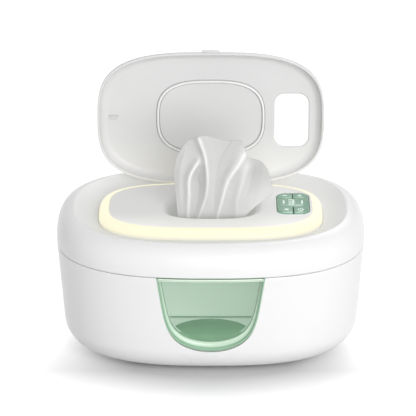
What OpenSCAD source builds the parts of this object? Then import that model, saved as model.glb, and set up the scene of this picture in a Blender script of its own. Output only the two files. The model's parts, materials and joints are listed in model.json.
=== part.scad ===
// Baby wipe warmer: a rounded base with a moisture window, a cover hinged at the rear and a flip lid.
// Millimetres. X runs right, Y runs to the back and Z runs up from the table, under the middle of the body.

/* [Body] */
// Width of the body at the seam
body_w = 240; // [220:5:290]
// Depth of the body at the seam
body_d = 176; // [166:2:212]
// Height of the seam between base and cover above the table
seam_z = 85.5; // [78:0.5:103]
// Height of the cover's rim above the seam
cover_rise = 24; // [22:0.5:29]
// Power of the body's outline seen from above, where 2 is an ellipse
body_power = 2.65; // [2.4:0.05:3.2]
// How far each side draws in from the seam to the bottom
base_taper = 6.2; // [3:0.2:8]
// Radius of the rounded bottom edge
bottom_r = 21; // [16:1:28]
// Width of the rounded top edge of the cover
crest_w = 14; // [10:0.5:16]
// Height of the rounded top edge of the cover
crest_h = 18; // [12:0.5:19]
// Wall of the two casings
wall = 2.5; // [2:0.1:3]
// Height of the rubber feet below the base
foot_h = 2; // [1:0.5:3]
// Radius of the rubber feet
foot_r = 6; // [5:0.5:7]

/* [Deck and light ring] */
// Width of the flat deck
deck_w = 159; // [150:1:168]
// Depth of the flat deck
deck_d = 88; // [80:1:96]
// Power of the outline of the deck, ring and lid
deck_power = 3.15; // [2.6:0.05:3.6]
// How far the deck lies in front of the middle
deck_shift = 0.5; // [0:0.1:1.5]
// Width of the light ring seen from above
ring_w = 7.9; // [5:0.1:9.5]
// Drop of the light ring's outer edge below the deck
ring_drop = 7.4; // [5:0.1:9]
// Wall of the light ring and of the deck
deck_t = 2.2; // [1.6:0.1:2.6]

/* [Dispensing mouth] */
// Width of the mouth at the deck
mouth_w = 81.6; // [70:0.2:84]
// Depth of the mouth at the deck
mouth_d = 55.6; // [46:0.2:57]
// How far the mouth lies in front of the middle
mouth_shift = 1; // [0:0.1:2]
// Width of the throat below the mouth
throat_w = 66; // [54:0.5:72]
// Depth of the throat below the mouth
throat_d = 38; // [30:0.5:44]
// Depth of the flare from the deck to the throat
flare_h = 10; // [6:0.5:13]

/* [Flip lid] */
// Gap between the lid's skirt and the light ring
lid_gap = 0.7; // [0.5:0.1:1.2]
// Wall of the lid
lid_t = 1.8; // [1.4:0.1:2.4]
// Clear height between the deck and the inside of the closed lid
lid_clear = 2; // [1.8:0.1:3.5]
// Width of the lid's rounded edge
lid_edge = 6; // [4:0.5:8]
// Angle through which the lid is open, from closed
lid_open = 93; // [80:1:93]
// Width of the seal under the lid
seal_w = 85.4; // [84.6:0.2:88]
// Depth of the seal under the lid
seal_d = 61.4; // [59:0.2:64]
// How far the seal lies behind the middle
seal_shift = 0.6; // [0:0.1:1]
// Width of the thumb tab
tab_w = 14; // [8:1:24]
// Length of the lid's hinge barrel
lid_barrel_l = 40; // [24:1:60]
// Radius of the lid's hinge barrel
lid_barrel_r = 2; // [1.8:0.1:2.2]
// Radius of the lid's hinge pin
lid_pin_r = 0.9; // [0.7:0.1:1.1]

/* [Keypad] */
// Width of the keypad
pad_w = 25; // [20:0.5:26]
// Depth of the keypad
pad_d = 42; // [34:0.5:43]
// Corner radius of the keypad
pad_r = 7.5; // [4:0.5:9]
// Centre of the keypad to the right of the middle
pad_x = 64.2; // [60:0.1:65]
// Centre of the keypad behind the middle
pad_y = 3; // [0:0.1:3.5]
// Depth of the back row of keys
back_row = 11.8; // [9:0.2:13]
// Depth of the display band
band_d = 15.4; // [12:0.2:17]
// Height of the keys above the deck
key_proud = 0.5; // [0.2:0.1:1]
// Travel of a key
key_travel = 0.8; // [0.4:0.1:0.9]
// Radius of a key's stem
stem_r = 1.5; // [1.2:0.1:2]

/* [Window] */
// Width of the window at its top
window_w = 82; // [60:1:96]
// Height of the window
window_h = 61.4; // [48:0.2:64]
// Share by which the window's sides draw in over its height
window_taper = 0.22; // [0.1:0.01:0.3]
// Power of the window's round lower corners
window_power = 6.3; // [4:0.1:9]
// Width of the window's bevelled frame at the sides
frame_side = 2.7; // [2:0.1:4]
// Width of the window's bevelled frame at the bottom
frame_bottom = 5.6; // [4:0.1:8]
// Height of the frame's strip under the seam
frame_top = 2.9; // [2:0.1:4]
// Depth of the pane's face behind the front of the body
pane_back = 7.5; // [6.5:0.1:8.2]
// Thickness of the pane
pane_t = 1.8; // [1.5:0.1:2.4]

/* [Tub and heater] */
// Height of the tub's floor above the table
floor_z = 29; // [27:0.5:36]
// Wall of the tub
tub_wall = 2; // [1.6:0.1:2.5]
// Distance from the tub's wall in to the body's outline
tub_inset = 13; // [12.8:0.2:18]
// Distance of the divider in front of the middle
divider_front = 33; // [24:1:40]
// Thickness of the divider
divider_t = 1.6; // [1.2:0.1:2.4]
// Height of the divider above the tub's floor
divider_h = 46; // [36:1:50]
// Thickness of the heater plate
heater_t = 1.5; // [1:0.1:2]
// Width of the heater plate
heater_w = 150; // [120:2:160]
// Depth of the heater plate
heater_d = 88; // [70:2:92]
// Width from the middle to the power jack at the rear
jack_x = 58; // [50:1:62]
// Radius of the power jack's body
jack_r = 3.6; // [3.3:0.1:4]
// Height of the power jack above the base's underside
jack_rise = 18.5; // [17:0.5:22]

/* [Rear hinge] */
// Radius of the rear hinge's knuckles
knuckle_r = 2.9; // [2.5:0.1:3]
// Radius of the rear hinge's pin
hinge_pin_r = 1.2; // [1:0.1:1.5]
// Width of the rear hinge
hinge_w = 96; // [70:2:96]
// Thickness of the rear hinge's leaves
leaf_t = 1.8; // [1.4:0.1:1.9]

/* [Fits] */
// Gap between pieces that seat on each other
seat_gap = 0.3; // [0.2:0.05:0.35]
// Gap beside pieces that move
move_gap = 0.4; // [0.35:0.05:0.5]
// Gap between base and cover at the seam
seam_gap = 0.6; // [0.4:0.1:1]
// Radial clearance of a pin in its bore
pin_gap = 0.05; // [0.03:0.01:0.08]

/* [Hidden] */
$fn = 48;
around = 64; // points round each outline
arc_steps = 6; // steps of each rounded edge

// Heights of the base and cover
base_top = seam_z - seam_gap / 2;
cover_bottom = seam_z + seam_gap / 2;
rim_z = seam_z + cover_rise;
half_w = body_w / 2;
half_d = body_d / 2;
base_h = base_top - foot_h;

// Rim, ledge and tub flange inside the seam
rim_w = 6;
ledge_w = 9;
ledge_z = base_top - 3.4;
flange_z = ledge_z + seat_gap;
flange_t = base_top - flange_z;
flange_inset = rim_w + move_gap;

// Bottom cover in its rebate
bottom_lip = 4;
bottom_ledge = 6;
plate_t = 1.8;
bottom_floor = foot_h + 3.7;
flat_w = half_w - base_taper - bottom_r;
flat_d = half_d - base_taper - bottom_r;
plate_w = flat_w - bottom_lip;
plate_d = flat_d - bottom_lip;
screw_in = 6.9; // from the rebate's edge in to the middle of a screw
screw_y = flat_d - 20.5;
screw_x = reach(screw_y, plate_d, plate_w, body_power) - screw_in;
boss_r = 3.5;
screw_r = 1.1;
foot_in = 8.8; // from the rebate's ledge in to the middle of a foot, in line with the foot's seat
foot_y = flat_d - 24.8;
foot_x = reach(foot_y + 5.3, plate_d - bottom_ledge, plate_w - bottom_ledge, body_power) - foot_in;

// Deck, ring and dish
deck_z = rim_z - 0.2;
ring_bottom = deck_z - ring_drop;
ring_half_w = deck_w / 2 + ring_w;
ring_half_d = deck_d / 2 + ring_w;
dish_gap = 0.4;

// Lid in its closed place
lid_half_w = ring_half_w + lid_gap + lid_t;
lid_half_d = ring_half_d + lid_gap + lid_t;
lid_rim = ring_bottom + 1.2;
lid_in = deck_z + lid_clear;
lid_top = lid_in + lid_t + 0.3;
lid_axis_y = lid_half_d - deck_shift + 0.7;
lid_axis_z = lid_rim + 1.1;
ear_w = 4;
ear_x = lid_barrel_l / 2 + move_gap;
hole_margin = 0.8;

// Keypad
key_t = 2.2;
key_top = deck_z + key_proud;
pad_gap = 0.35;
key_split = 0.4;
carrier_z = deck_z - 4.4;
carrier_t = 1.6;
board_z = carrier_z - 7.4;
board_t = 1.6;
front_row = pad_d - back_row - band_d;
band_back = pad_y + pad_d / 2 - back_row;
band_front = band_back - band_d;

// Cover's inner pieces
liner_z = cover_bottom + 0.9;
liner_t = 2;
led_z = liner_z + 7;
led_t = 1.2;
led_count = 16;
throat_bottom = liner_z + 0.4;
liner_boss_s = 0.35;
liner_boss = [for (q = [22, 58]) let (p = dish_point(liner_boss_s, q)) [p[0], p[1]]];

// Window and tub
window_top = base_top;
pane_face = -(half_d - pane_back);
pane_rear = pane_face + pane_t;
frame_lip = 1.2;
gasket_t = 1;
collar_face = pane_rear + seat_gap + gasket_t + seat_gap;
tub_w = half_w - tub_inset;
tub_d = half_d - tub_inset + 2;
tub_under = floor_z - tub_wall;
collar_w = 4;
tub_corner = 2.5;
tub_front = -tub_d;
pad_a = 32.5; // half width of the moisture pad
pad_b = 30; // half depth of the moisture pad

// Heater stack below the tub, from the top down
film_t = 0.8;
sheet_t = 3;
retainer_t = 1.6;
heater_z = tub_under - seat_gap - heater_t;
film_z = heater_z - seat_gap - film_t;
sheet_z = film_z - seat_gap - sheet_t;
retainer_z = sheet_z - seat_gap - retainer_t;
post_x = heater_w / 2 + 5;
post_y = 24;

// Main board above the bottom cover
main_w = 76;
main_d = 46;
main_z = foot_h + plate_t + 3.6;
main_t = 1.6;

// Power jack in the rear wall
jack_z = foot_h + jack_rise;
jack_face = reach(jack_x, half_w - base_taper, half_d - base_taper, body_power) - wall - 3;
socket_r = 2.8;

// Rear hinge
hinge_z = seam_z;
hinge_y = half_d - knuckle_r - 0.1;
leaf_w = hinge_w - 36;
knuckle_edges = [-hinge_w / 2, -leaf_w / 2 + 4, -8, 8, leaf_w / 2 - 4, hinge_w / 2];
leaf_y = hinge_y - knuckle_r;
leaf_h = 11;
notch_w = hinge_w + 3;
notch_h = knuckle_r + move_gap + 0.8;

// Catch hooks at the front of the cover
hook_x = 60;
hook_w = 9;
hook_t = 1.8;
hook_h = 3;
hook_y = -reach(hook_x, half_w, half_d, body_power) + wall - 0.7;

// One closed outline of a body, from its half width, half depth, height, power and shift in Y
function ring(a, b, z, n, cy = 0) = [for (i = [0 : around - 1])
    let (c = cos(360 * i / around), s = sin(360 * i / around))
    [a * sign(c) * pow(abs(c), 2 / n), cy + b * sign(s) * pow(abs(s), 2 / n), z]];

// The same outline as flat points
function outline(a, b, n, cy = 0) = [for (p = ring(a, b, 0, n, cy)) [p[0], p[1]]];

// Depth of the body's outline at x, for half sizes a and b
function reach(x, a, b, n) = b * pow(max(0, 1 - pow(min(1, abs(x) / a), n)), 1 / n);

// Solid through a stack of outlines, closed by its two end outlines or back on itself
module skin(rings, looped = false) {
    n = len(rings[0]);
    m = len(rings);
    last = looped ? m - 1 : m - 2;
    sides = [for (k = [0 : last], i = [0 : n - 1])
        let (a = k * n, b = ((k + 1) % m) * n, j = (i + 1) % n) [a + i, b + i, b + j, a + j]];
    ends = looped ? [] : [[for (i = [0 : n - 1]) i], [for (i = [n - 1 : -1 : 0]) (m - 1) * n + i]];
    polyhedron([for (r = rings) each r], concat(ends, sides), 10);
}

// How far the base's surface lies inside the seam's outline at height z, off below the surface
function base_inset(z, off = 0) =
    let (rise = z - foot_h, r = bottom_r - off)
    base_taper * (base_top - z) / base_h + off
    + (rise < bottom_r ? r - sqrt(max(0, r * r - pow(bottom_r - rise, 2))) : 0);

function base_ring(z, inset) = ring(half_w - inset, half_d - inset, z, body_power);

// Points of the cover's surface over its side, rounded edge and dish, off below the surface
function crest_ring(t, off = 0) =
    let (inset = crest_w * (1 - cos(t)) + off * cos(t))
    base_ring(rim_z - crest_h * (1 - sin(t)) - off * sin(t), inset);

function dish_ring(s, off = 0) =
    let (a0 = half_w - crest_w, b0 = half_d - crest_w,
         a1 = ring_half_w + dish_gap, b1 = ring_half_d + dish_gap)
    ring(a0 + (a1 - a0) * s, b0 + (b1 - b0) * s, rim_z - dish_fall(s) - off,
         body_power + (deck_power - body_power) * s, -deck_shift * s);

// Point of the dish's surface at share s of its width, at angle q round it
function dish_point(s, q) =
    let (a0 = half_w - crest_w, b0 = half_d - crest_w,
         a = a0 + (ring_half_w + dish_gap - a0) * s, b = b0 + (ring_half_d + dish_gap - b0) * s,
         n = body_power + (deck_power - body_power) * s)
    [a * pow(cos(q), 2 / n), b * pow(sin(q), 2 / n), rim_z - dish_fall(s)];

function dish_fall(s) = (rim_z - ring_bottom) * (1 - pow(1 - s, 1.5));

function deck_ring(grow, z) = ring(deck_w / 2 + grow, deck_d / 2 + grow, z, deck_power, -deck_shift);

// Outline of the window as x and z, grown past its nominal edge
function window_points(grow = 0, top = 0, drop = 0) =
    let (steps = 14, w = window_w / 2 + grow, h = window_h + grow - top - drop)
    concat([for (i = [0 : steps]) let (q = 90 * i / steps, t = pow(sin(q), 2 / window_power))
                [w * (1 - window_taper * t) * cos(q), window_top - top - h * t]],
           [for (i = [steps - 1 : -1 : 0]) let (q = 90 * i / steps, t = pow(sin(q), 2 / window_power))
                [-w * (1 - window_taper * t) * cos(q), window_top - top - h * t]]);

// Y of the front of the base at a window point
function front_y(p) =
    let (inset = base_inset(p[1])) -reach(p[0], half_w - inset, half_d - inset, body_power);

// A window outline laid at one depth, or on the front of the body where no depth is given
function window_ring(points, y = undef) = [for (p = points) [p[0], is_undef(y) ? front_y(p) : y, p[1]]];

// Prism of an x and z outline between two depths
module slab_y(points, y0, y1) {
    translate([0, y1, 0]) rotate([90, 0, 0]) linear_extrude(y1 - y0) polygon(points);
}

module rod_x(r, x0, x1, y, z) {
    translate([x0, y, z]) rotate([0, 90, 0]) cylinder(r = r, h = x1 - x0);
}

module rod_y(r, y0, y1, x, z) {
    translate([x, y1, z]) rotate([90, 0, 0]) cylinder(r = r, h = y1 - y0);
}

module rod_z(r, z0, z1, x, y) {
    translate([x, y, z0]) cylinder(r = r, h = z1 - z0);
}

module box(x0, x1, y0, y1, z0, z1) {
    translate([x0, y0, z0]) cube([x1 - x0, y1 - y0, z1 - z0]);
}

// Plate with the superellipse outline of the body, inset from the seam's outline
module body_plate(inset, z, t) {
    translate([0, 0, z]) linear_extrude(t) polygon(outline(half_w - inset, half_d - inset, body_power));
}

// Rounded rectangle made of exact squares and circles
module round_rect(w, d, r) {
    square([w - 2 * r, d], center = true);
    square([w, d - 2 * r], center = true);
    for (x = [-1, 1], y = [-1, 1]) translate([x * (w / 2 - r), y * (d / 2 - r)]) circle(r = r);
}

module mirrored_x() {
    children();
    mirror([1, 0, 0]) children();
}

// Repeats a piece drawn at the right rear in all four corners
module four_corners() {
    for (x = [0, 1], y = [0, 1]) mirror([x, 0, 0]) mirror([0, y, 0]) children();
}

module base_shell() {
    color("white") difference() {
        union() {
            skin(concat(
                [ring(flat_w - bottom_lip, flat_d - bottom_lip, foot_h, body_power)],
                [for (k = [0 : arc_steps]) let (z = foot_h + bottom_r * (1 - cos(90 * k / arc_steps)))
                    base_ring(z, base_inset(z))],
                [for (z = [(foot_h + bottom_r + base_top) / 2, base_top]) base_ring(z, base_inset(z))],
                [base_ring(base_top, rim_w), base_ring(ledge_z, rim_w), base_ring(ledge_z, ledge_w),
                 base_ring(ledge_z - 2, ledge_w), base_ring(ledge_z - 2 - ledge_w + wall, wall + 0.8)],
                [for (k = [arc_steps : -1 : 2])
                    let (z = foot_h + bottom_r - (bottom_r - wall) * cos(90 * k / arc_steps))
                    base_ring(z, base_inset(z, wall))],
                [for (z = [bottom_floor, foot_h + plate_t + seat_gap])
                    ring(flat_w - bottom_lip - bottom_ledge, flat_d - bottom_lip - bottom_ledge, z,
                         body_power)],
                [ring(flat_w - bottom_lip, flat_d - bottom_lip, foot_h + plate_t + seat_gap, body_power)]
            ), looped = true);
            four_corners() rod_z(boss_r, foot_h + plate_t + seat_gap, foot_h + 14, screw_x, screw_y);
            mirrored_x() post_boss();
            jack_collar();
        }
        slab_y(window_points(0.2), -half_d - 2, pane_face + 1);
        slab_y(concat([[-window_w / 2 - 0.2, base_top + 1]], [[window_w / 2 + 0.2, base_top + 1]],
                      [[window_w / 2 + 0.2, base_top - 1], [-window_w / 2 - 0.2, base_top - 1]]),
               -half_d - 2, pane_face + 1);
        slab_y(window_points(frame_lip + 2.4), pane_face, collar_face + 8);
        box(-window_w / 2 - 4, window_w / 2 + 4, pane_face, collar_face + 8, base_top - 1, base_top + 1);
        box(-notch_w / 2, notch_w / 2, leaf_y - move_gap, half_d + 2, hinge_z - notch_h, base_top + 1);
        box(-leaf_w / 2 - seat_gap, leaf_w / 2 + seat_gap, leaf_y - move_gap, leaf_y + leaf_t + seat_gap,
            base_top - leaf_h - 6, base_top);
        mirrored_x() box(hook_x - hook_w / 2 - move_gap, hook_x + hook_w / 2 + move_gap,
                         hook_y - move_gap, hook_y + hook_t + move_gap,
                         base_top - hook_h - 0.4, base_top + 1);
        four_corners() rod_z(screw_r, foot_h, foot_h + 11, screw_x, screw_y);
        rod_y(jack_r + 1, jack_face - 0.02, half_d + 1, jack_x, jack_z);
    }
}

// Post on the base's floor ledge that carries the tub's heater deck
module post_boss() {
    rod_z(boss_r, foot_h + plate_t + seat_gap, tub_under - 2.2, flat_w - bottom_lip - 3, 0);
}

// Flat seat for the power jack inside the rear wall
module jack_collar() {
    intersection() {
        rod_y(jack_r + 3.5, jack_face - 0.01, half_d, jack_x, jack_z);
        skin([for (z = [jack_z - 12, jack_z - 6, jack_z, jack_z + 6, jack_z + 12])
                base_ring(z, base_inset(max(z, foot_h)) + 0.5)]);
    }
}

module window_frame() {
    outer = window_points();
    inner = window_points(-frame_side, frame_top, frame_bottom - frame_side);
    lip = window_points(2, 0.3);
    color([0.66, 0.78, 0.68]) skin([
        window_ring(inner, pane_face), window_ring(inner, pane_rear), window_ring(lip, pane_rear),
        window_ring(lip, pane_rear - frame_lip), window_ring(outer, pane_rear - frame_lip),
        window_ring(outer)
    ], looped = true);
}

module window_pane() {
    glass = window_points(-frame_side - 0.15, frame_top + 0.15, frame_bottom - frame_side);
    color([0.6, 0.76, 0.64, 0.5]) slab_y(glass, pane_face + 0.2, pane_rear);
}

module window_gasket() {
    color([0.75, 0.84, 0.76]) difference() {
        slab_y(window_points(1), pane_rear + seat_gap, pane_rear + seat_gap + gasket_t);
        slab_y(window_points(-frame_side, frame_top, frame_bottom - frame_side), pane_rear, collar_face);
    }
}

module inner_tub() {
    color([0.93, 0.94, 0.93]) difference() {
        union() {
            skin(concat(
                [for (k = [0 : 2]) tub_edge(0, tub_corner + tub_wall, tub_under, 45 * k)],
                [ring(tub_w, tub_d, flange_z, body_power),
                 base_ring(flange_z, flange_inset), base_ring(flange_z + flange_t, flange_inset),
                 ring(tub_w - tub_wall, tub_d - tub_wall, flange_z + flange_t, body_power)],
                [for (k = [2 : -1 : 0]) tub_edge(tub_wall, tub_corner, floor_z, 45 * k)]
            ));
            slab_y(window_points(1), collar_face, tub_front + collar_w);
            heater_posts();
        }
        box(-window_w / 2 - 6, window_w / 2 + 6, -half_d, collar_face, 0, rim_z);
        slab_y(window_points(-frame_side, frame_top, frame_bottom - frame_side - 0.3), collar_face - 1,
               tub_front + collar_w + 1);
        for (x = [-1, 1], y = [-1, 1]) rod_z(screw_r, retainer_z, tub_under - 0.5, x * post_x, y * post_y);
    }
}

// Outline of the tub's rounded lower edge at angle q, for an edge of radius r that starts at height z
function tub_edge(inset, r, z, q) =
    let (in = inset + r * (1 - sin(q))) ring(tub_w - in, tub_d - in, z + r * (1 - cos(q)), body_power);

// Posts under the tub that hold the heater stack's retainer
module heater_posts() {
    for (x = [-1, 1], y = [-1, 1])
        rod_z(2.6, retainer_z + retainer_t + seat_gap, tub_under + 0.5, x * post_x, y * post_y);
}

module tub_divider() {
    wide = reach(divider_front + divider_t, tub_d - tub_wall, tub_w - tub_wall, body_power) - 2 * seat_gap;
    color([0.9, 0.93, 0.9]) difference() {
        box(-wide, wide, -divider_front - divider_t, -divider_front,
            floor_z + seat_gap, floor_z + divider_h);
        corner_cuts(wide);
        for (x = [-4 : 4]) box(x * 18 - 6, x * 18 + 6, -divider_front - 3, -divider_front + 1,
                               floor_z + divider_h - 8, floor_z + divider_h - 5);
    }
}

// Lower corners of the divider, cut back from the tub's rounded floor edge
module corner_cuts(wide) {
    cut = tub_corner + 1;
    mirrored_x() slab_y([[wide - cut, floor_z - 1], [wide + 1, floor_z - 1], [wide + 1, floor_z + cut]],
                        -divider_front - 3, -divider_front + 1);
}

module moisture_pad() {
    rim = tub_wall + tub_corner;
    front = -reach(pad_a, tub_w - rim, tub_d - rim, body_power) + seat_gap;
    color([0.36, 0.5, 0.38]) intersection() {
        translate([0, -divider_front - divider_t - 4 - pad_b, floor_z + seat_gap]) linear_extrude(2.2)
            polygon([for (k = [0 : 47]) [pad_a * cos(7.5 * k), pad_b * sin(7.5 * k)]]);
        box(-60, 60, front, 0, 0, 60);
    }
}

module heater_plate() {
    color("silver") translate([0, 0, heater_z]) linear_extrude(heater_t) round_rect(heater_w, heater_d, 10);
}

module heater_film() {
    color("orange") translate([0, 0, film_z]) linear_extrude(film_t)
        round_rect(heater_w - 12, heater_d - 12, 6);
}

module insulation_sheet() {
    color([0.85, 0.85, 0.8]) difference() {
        translate([0, 0, sheet_z]) linear_extrude(sheet_t) round_rect(heater_w - 2, heater_d - 2, 8);
        rod_z(4.4, sheet_z - 1, sheet_z + sheet_t + 1, 20, 0);
        box(-24, -6, -4.4, 4.4, sheet_z - 1, sheet_z + sheet_t + 1);
    }
}

module heater_retainer() {
    color([0.8, 0.8, 0.82]) difference() {
        union() {
            translate([0, 0, retainer_z]) linear_extrude(retainer_t) round_rect(heater_w, 30, 8);
            for (y = [-1, 1]) box(-post_x - 4, post_x + 4, y * post_y - 5, y * post_y + 5,
                                  retainer_z, retainer_z + retainer_t);
        }
        for (x = [-1, 1], y = [-1, 1])
            rod_z(screw_r + 0.2, retainer_z - 1, retainer_z + retainer_t + 1, x * post_x, y * post_y);
        box(-27, 27, -9, 9, retainer_z - 1, retainer_z + retainer_t + 1);
    }
}

module retainer_screws() {
    color("dimgray") for (x = [-1, 1], y = [-1, 1]) {
        rod_z(screw_r - pin_gap, retainer_z - 0.5, tub_under - 1, x * post_x, y * post_y);
        rod_z(2.1, retainer_z - 1.8, retainer_z, x * post_x, y * post_y);
    }
}

module thermistor() {
    color("black") rod_z(2.2, film_z - seat_gap - 2.4, film_z - seat_gap, 20, 0);
}

module thermal_fuse() {
    color("ivory") rod_x(1.6, -22, -8, 0, film_z - seat_gap - 1.6);
}

module main_board() {
    color("darkgreen") difference() {
        translate([0, 0, main_z]) linear_extrude(main_t) round_rect(main_w, main_d, 3);
        for (x = [-1, 1], y = [-1, 1])
            rod_z(1.3, main_z - 1, main_z + 3, x * (main_w / 2 - 5), y * (main_d / 2 - 5));
    }
}

// Relay, capacitor, connector and control chip on the main board
module board_components() {
    top = main_z + main_t + 0.05;
    color("black") {
        box(-30, -18, -8, 4, top, top + 4.6);
        rod_z(3, top, top + 5.5, 0, 12);
        box(14, 26, -12, 0, top, top + 1.6);
        box(-8, 6, -20, -15, top, top + 4.5);
        box(24, 36, 6, 16, top, top + 4);
    }
}

module dc_jack() {
    color("black") difference() {
        union() {
            rod_y(jack_r + 2, jack_face - 2 - seat_gap, jack_face - seat_gap, jack_x, jack_z);
            rod_y(jack_r, jack_face - 12, jack_face + 3, jack_x, jack_z);
        }
        rod_y(socket_r, jack_face - 9, jack_face + 4, jack_x, jack_z);
    }
}

module bottom_cover() {
    color("white") difference() {
        union() {
            translate([0, 0, foot_h]) linear_extrude(plate_t)
                polygon(outline(flat_w - bottom_lip - seat_gap, flat_d - bottom_lip - seat_gap, body_power));
            for (x = [-1, 1], y = [-1, 1])
                rod_z(3, foot_h + 1, main_z - 0.05, x * (main_w / 2 - 5), y * (main_d / 2 - 5));
            for (x = [-1, 1], y = [-1, 1])
                rod_z(foot_r + 1.5, foot_h, foot_h + plate_t + 1.4, x * foot_x, y * foot_y);
        }
        four_corners() {
            rod_z(screw_r + 0.2, foot_h - 1, foot_h + 3, screw_x, screw_y);
            rod_z(2.6, foot_h - 1, foot_h + 1, screw_x, screw_y);
        }
        for (x = [-1, 1], y = [-1, 1]) rod_z(foot_r + 0.1, foot_h - 1, foot_h + 1.2, x * foot_x, y * foot_y);
        for (x = [-3 : 3]) box(x * 8 - 1.2, x * 8 + 1.2, -34, -28, foot_h - 1, foot_h + 3);
    }
}

module bottom_screws() {
    color("dimgray") four_corners() {
        rod_z(screw_r - pin_gap, foot_h + 0.9, foot_h + 10, screw_x, screw_y);
        rod_z(2.4, foot_h - 0.6, foot_h + 0.95, screw_x, screw_y);
    }
}

module feet() {
    color("gray") for (x = [-1, 1], y = [-1, 1]) rod_z(foot_r, 0, foot_h + 1.15, x * foot_x, y * foot_y);
}

// Knuckles of one side of the rear hinge, with the leaf that carries them
module hinge_leaf(spans, z0, z1, tab_z) {
    difference() {
        union() {
            for (s = spans) {
                rod_x(knuckle_r, s[0], s[1], hinge_y, hinge_z);
                box(max(s[0], -leaf_w / 2), min(s[1], leaf_w / 2), leaf_y, leaf_y + leaf_t,
                    min(tab_z, hinge_z), max(tab_z, hinge_z));
            }
            box(max(spans[0][0], -leaf_w / 2), min(spans[len(spans) - 1][1], leaf_w / 2),
                leaf_y, leaf_y + leaf_t, z0, z1);
        }
        rod_x(hinge_pin_r + pin_gap, -hinge_w, hinge_w, hinge_y, hinge_z);
    }
}

module base_hinge() {
    e = knuckle_edges;
    color("white") hinge_leaf([[e[0], e[1] - move_gap / 2], [e[2] + move_gap / 2, e[3] - move_gap / 2],
                               [e[4] + move_gap / 2, e[5]]],
                              base_top - leaf_h - 5.7, hinge_z - knuckle_r - move_gap, base_top - leaf_h);
}

module cover_hinge() {
    e = knuckle_edges;
    color("white") hinge_leaf([[e[1] + move_gap / 2, e[2] - move_gap / 2],
                               [e[3] + move_gap / 2, e[4] - move_gap / 2]],
                              hinge_z + knuckle_r + move_gap, hinge_z + leaf_h - 2, hinge_z + leaf_h - 2);
}

module hinge_pin() {
    color("silver") rod_x(hinge_pin_r, -hinge_w / 2 + 0.5, hinge_w / 2 - 0.5, hinge_y, hinge_z);
}

module cover_shell() {
    boss_top = rim_z - dish_fall(liner_boss_s) - wall + 0.8;
    color("white") difference() {
        union() {
            skin(concat(
                [base_ring(cover_bottom, 0)],
                [for (k = [0 : arc_steps]) crest_ring(90 * k / arc_steps)],
                [for (k = [1 : 4]) dish_ring(k / 4)],
                [for (k = [4 : -1 : 1]) dish_ring(k / 4, wall)],
                [for (k = [arc_steps : -1 : 0]) crest_ring(90 * k / arc_steps, wall)],
                [base_ring(cover_bottom, wall)]
            ), looped = true);
            for (p = liner_boss, x = [-1, 1], y = [-1, 1])
                rod_z(boss_r, liner_z + liner_t + seat_gap, boss_top, x * p[0], y * p[1]);
            mirrored_x() {
                box(hook_x - hook_w / 2, hook_x + hook_w / 2, hook_y, hook_y + hook_t,
                    base_top - hook_h, cover_bottom + 5);
                lid_ear();
            }
        }
        box(-notch_w / 2, notch_w / 2, leaf_y - move_gap, half_d + 2, cover_bottom - 1, hinge_z + notch_h);
        box(-ear_x - ear_w - 1, ear_x + ear_w + 1, lid_axis_y - lid_barrel_r - 0.9,
            lid_axis_y + lid_barrel_r + 0.9, lid_axis_z - lid_barrel_r - 0.5, lid_axis_z - lid_barrel_r);
        box(-ear_x + move_gap, ear_x - move_gap, lid_axis_y - lid_barrel_r - 0.9,
            lid_axis_y + lid_barrel_r + 0.9, lid_axis_z - lid_barrel_r - 0.5, deck_z);
        mirrored_x() box(ear_x + ear_w, ear_x + ear_w + 1, lid_axis_y - lid_barrel_r - 0.9,
                         lid_axis_y + lid_barrel_r + 0.9, lid_axis_z - lid_barrel_r - 0.5, deck_z);
        rod_x(lid_pin_r + pin_gap, -60, 60, lid_axis_y, lid_axis_z);
        for (p = liner_boss, x = [-1, 1], y = [-1, 1])
            rod_z(screw_r, liner_z, boss_top - 2.5, x * p[0], y * p[1]);
    }
}

module lid_ear() {
    rod_x(lid_barrel_r, ear_x, ear_x + ear_w, lid_axis_y, lid_axis_z);
    box(ear_x, ear_x + ear_w, lid_axis_y - lid_barrel_r, lid_axis_y + lid_barrel_r,
        lid_axis_z - lid_barrel_r - 1.2, lid_axis_z);
}

module glow_ring() {
    foot_z = ring_bottom - wall - seat_gap;
    color([1, 0.99, 0.9]) skin(concat(
        [deck_ring(ring_w + 3, foot_z - 1.4), deck_ring(ring_w + 3, foot_z), deck_ring(ring_w, foot_z)],
        [for (k = [0 : 5]) let (q = 18 * k) deck_ring(ring_w * cos(q), deck_z - ring_drop * (1 - sin(q)))],
        [deck_ring(0, deck_z - deck_t)],
        [for (k = [4 : -1 : 0]) let (q = 18 * k)
            deck_ring((ring_w - deck_t) * cos(q), deck_z - deck_t - (ring_drop - 0.2) * (1 - sin(q)))],
        [deck_ring(ring_w - deck_t, foot_z - 1.4)]
    ), looped = true);
}

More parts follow.
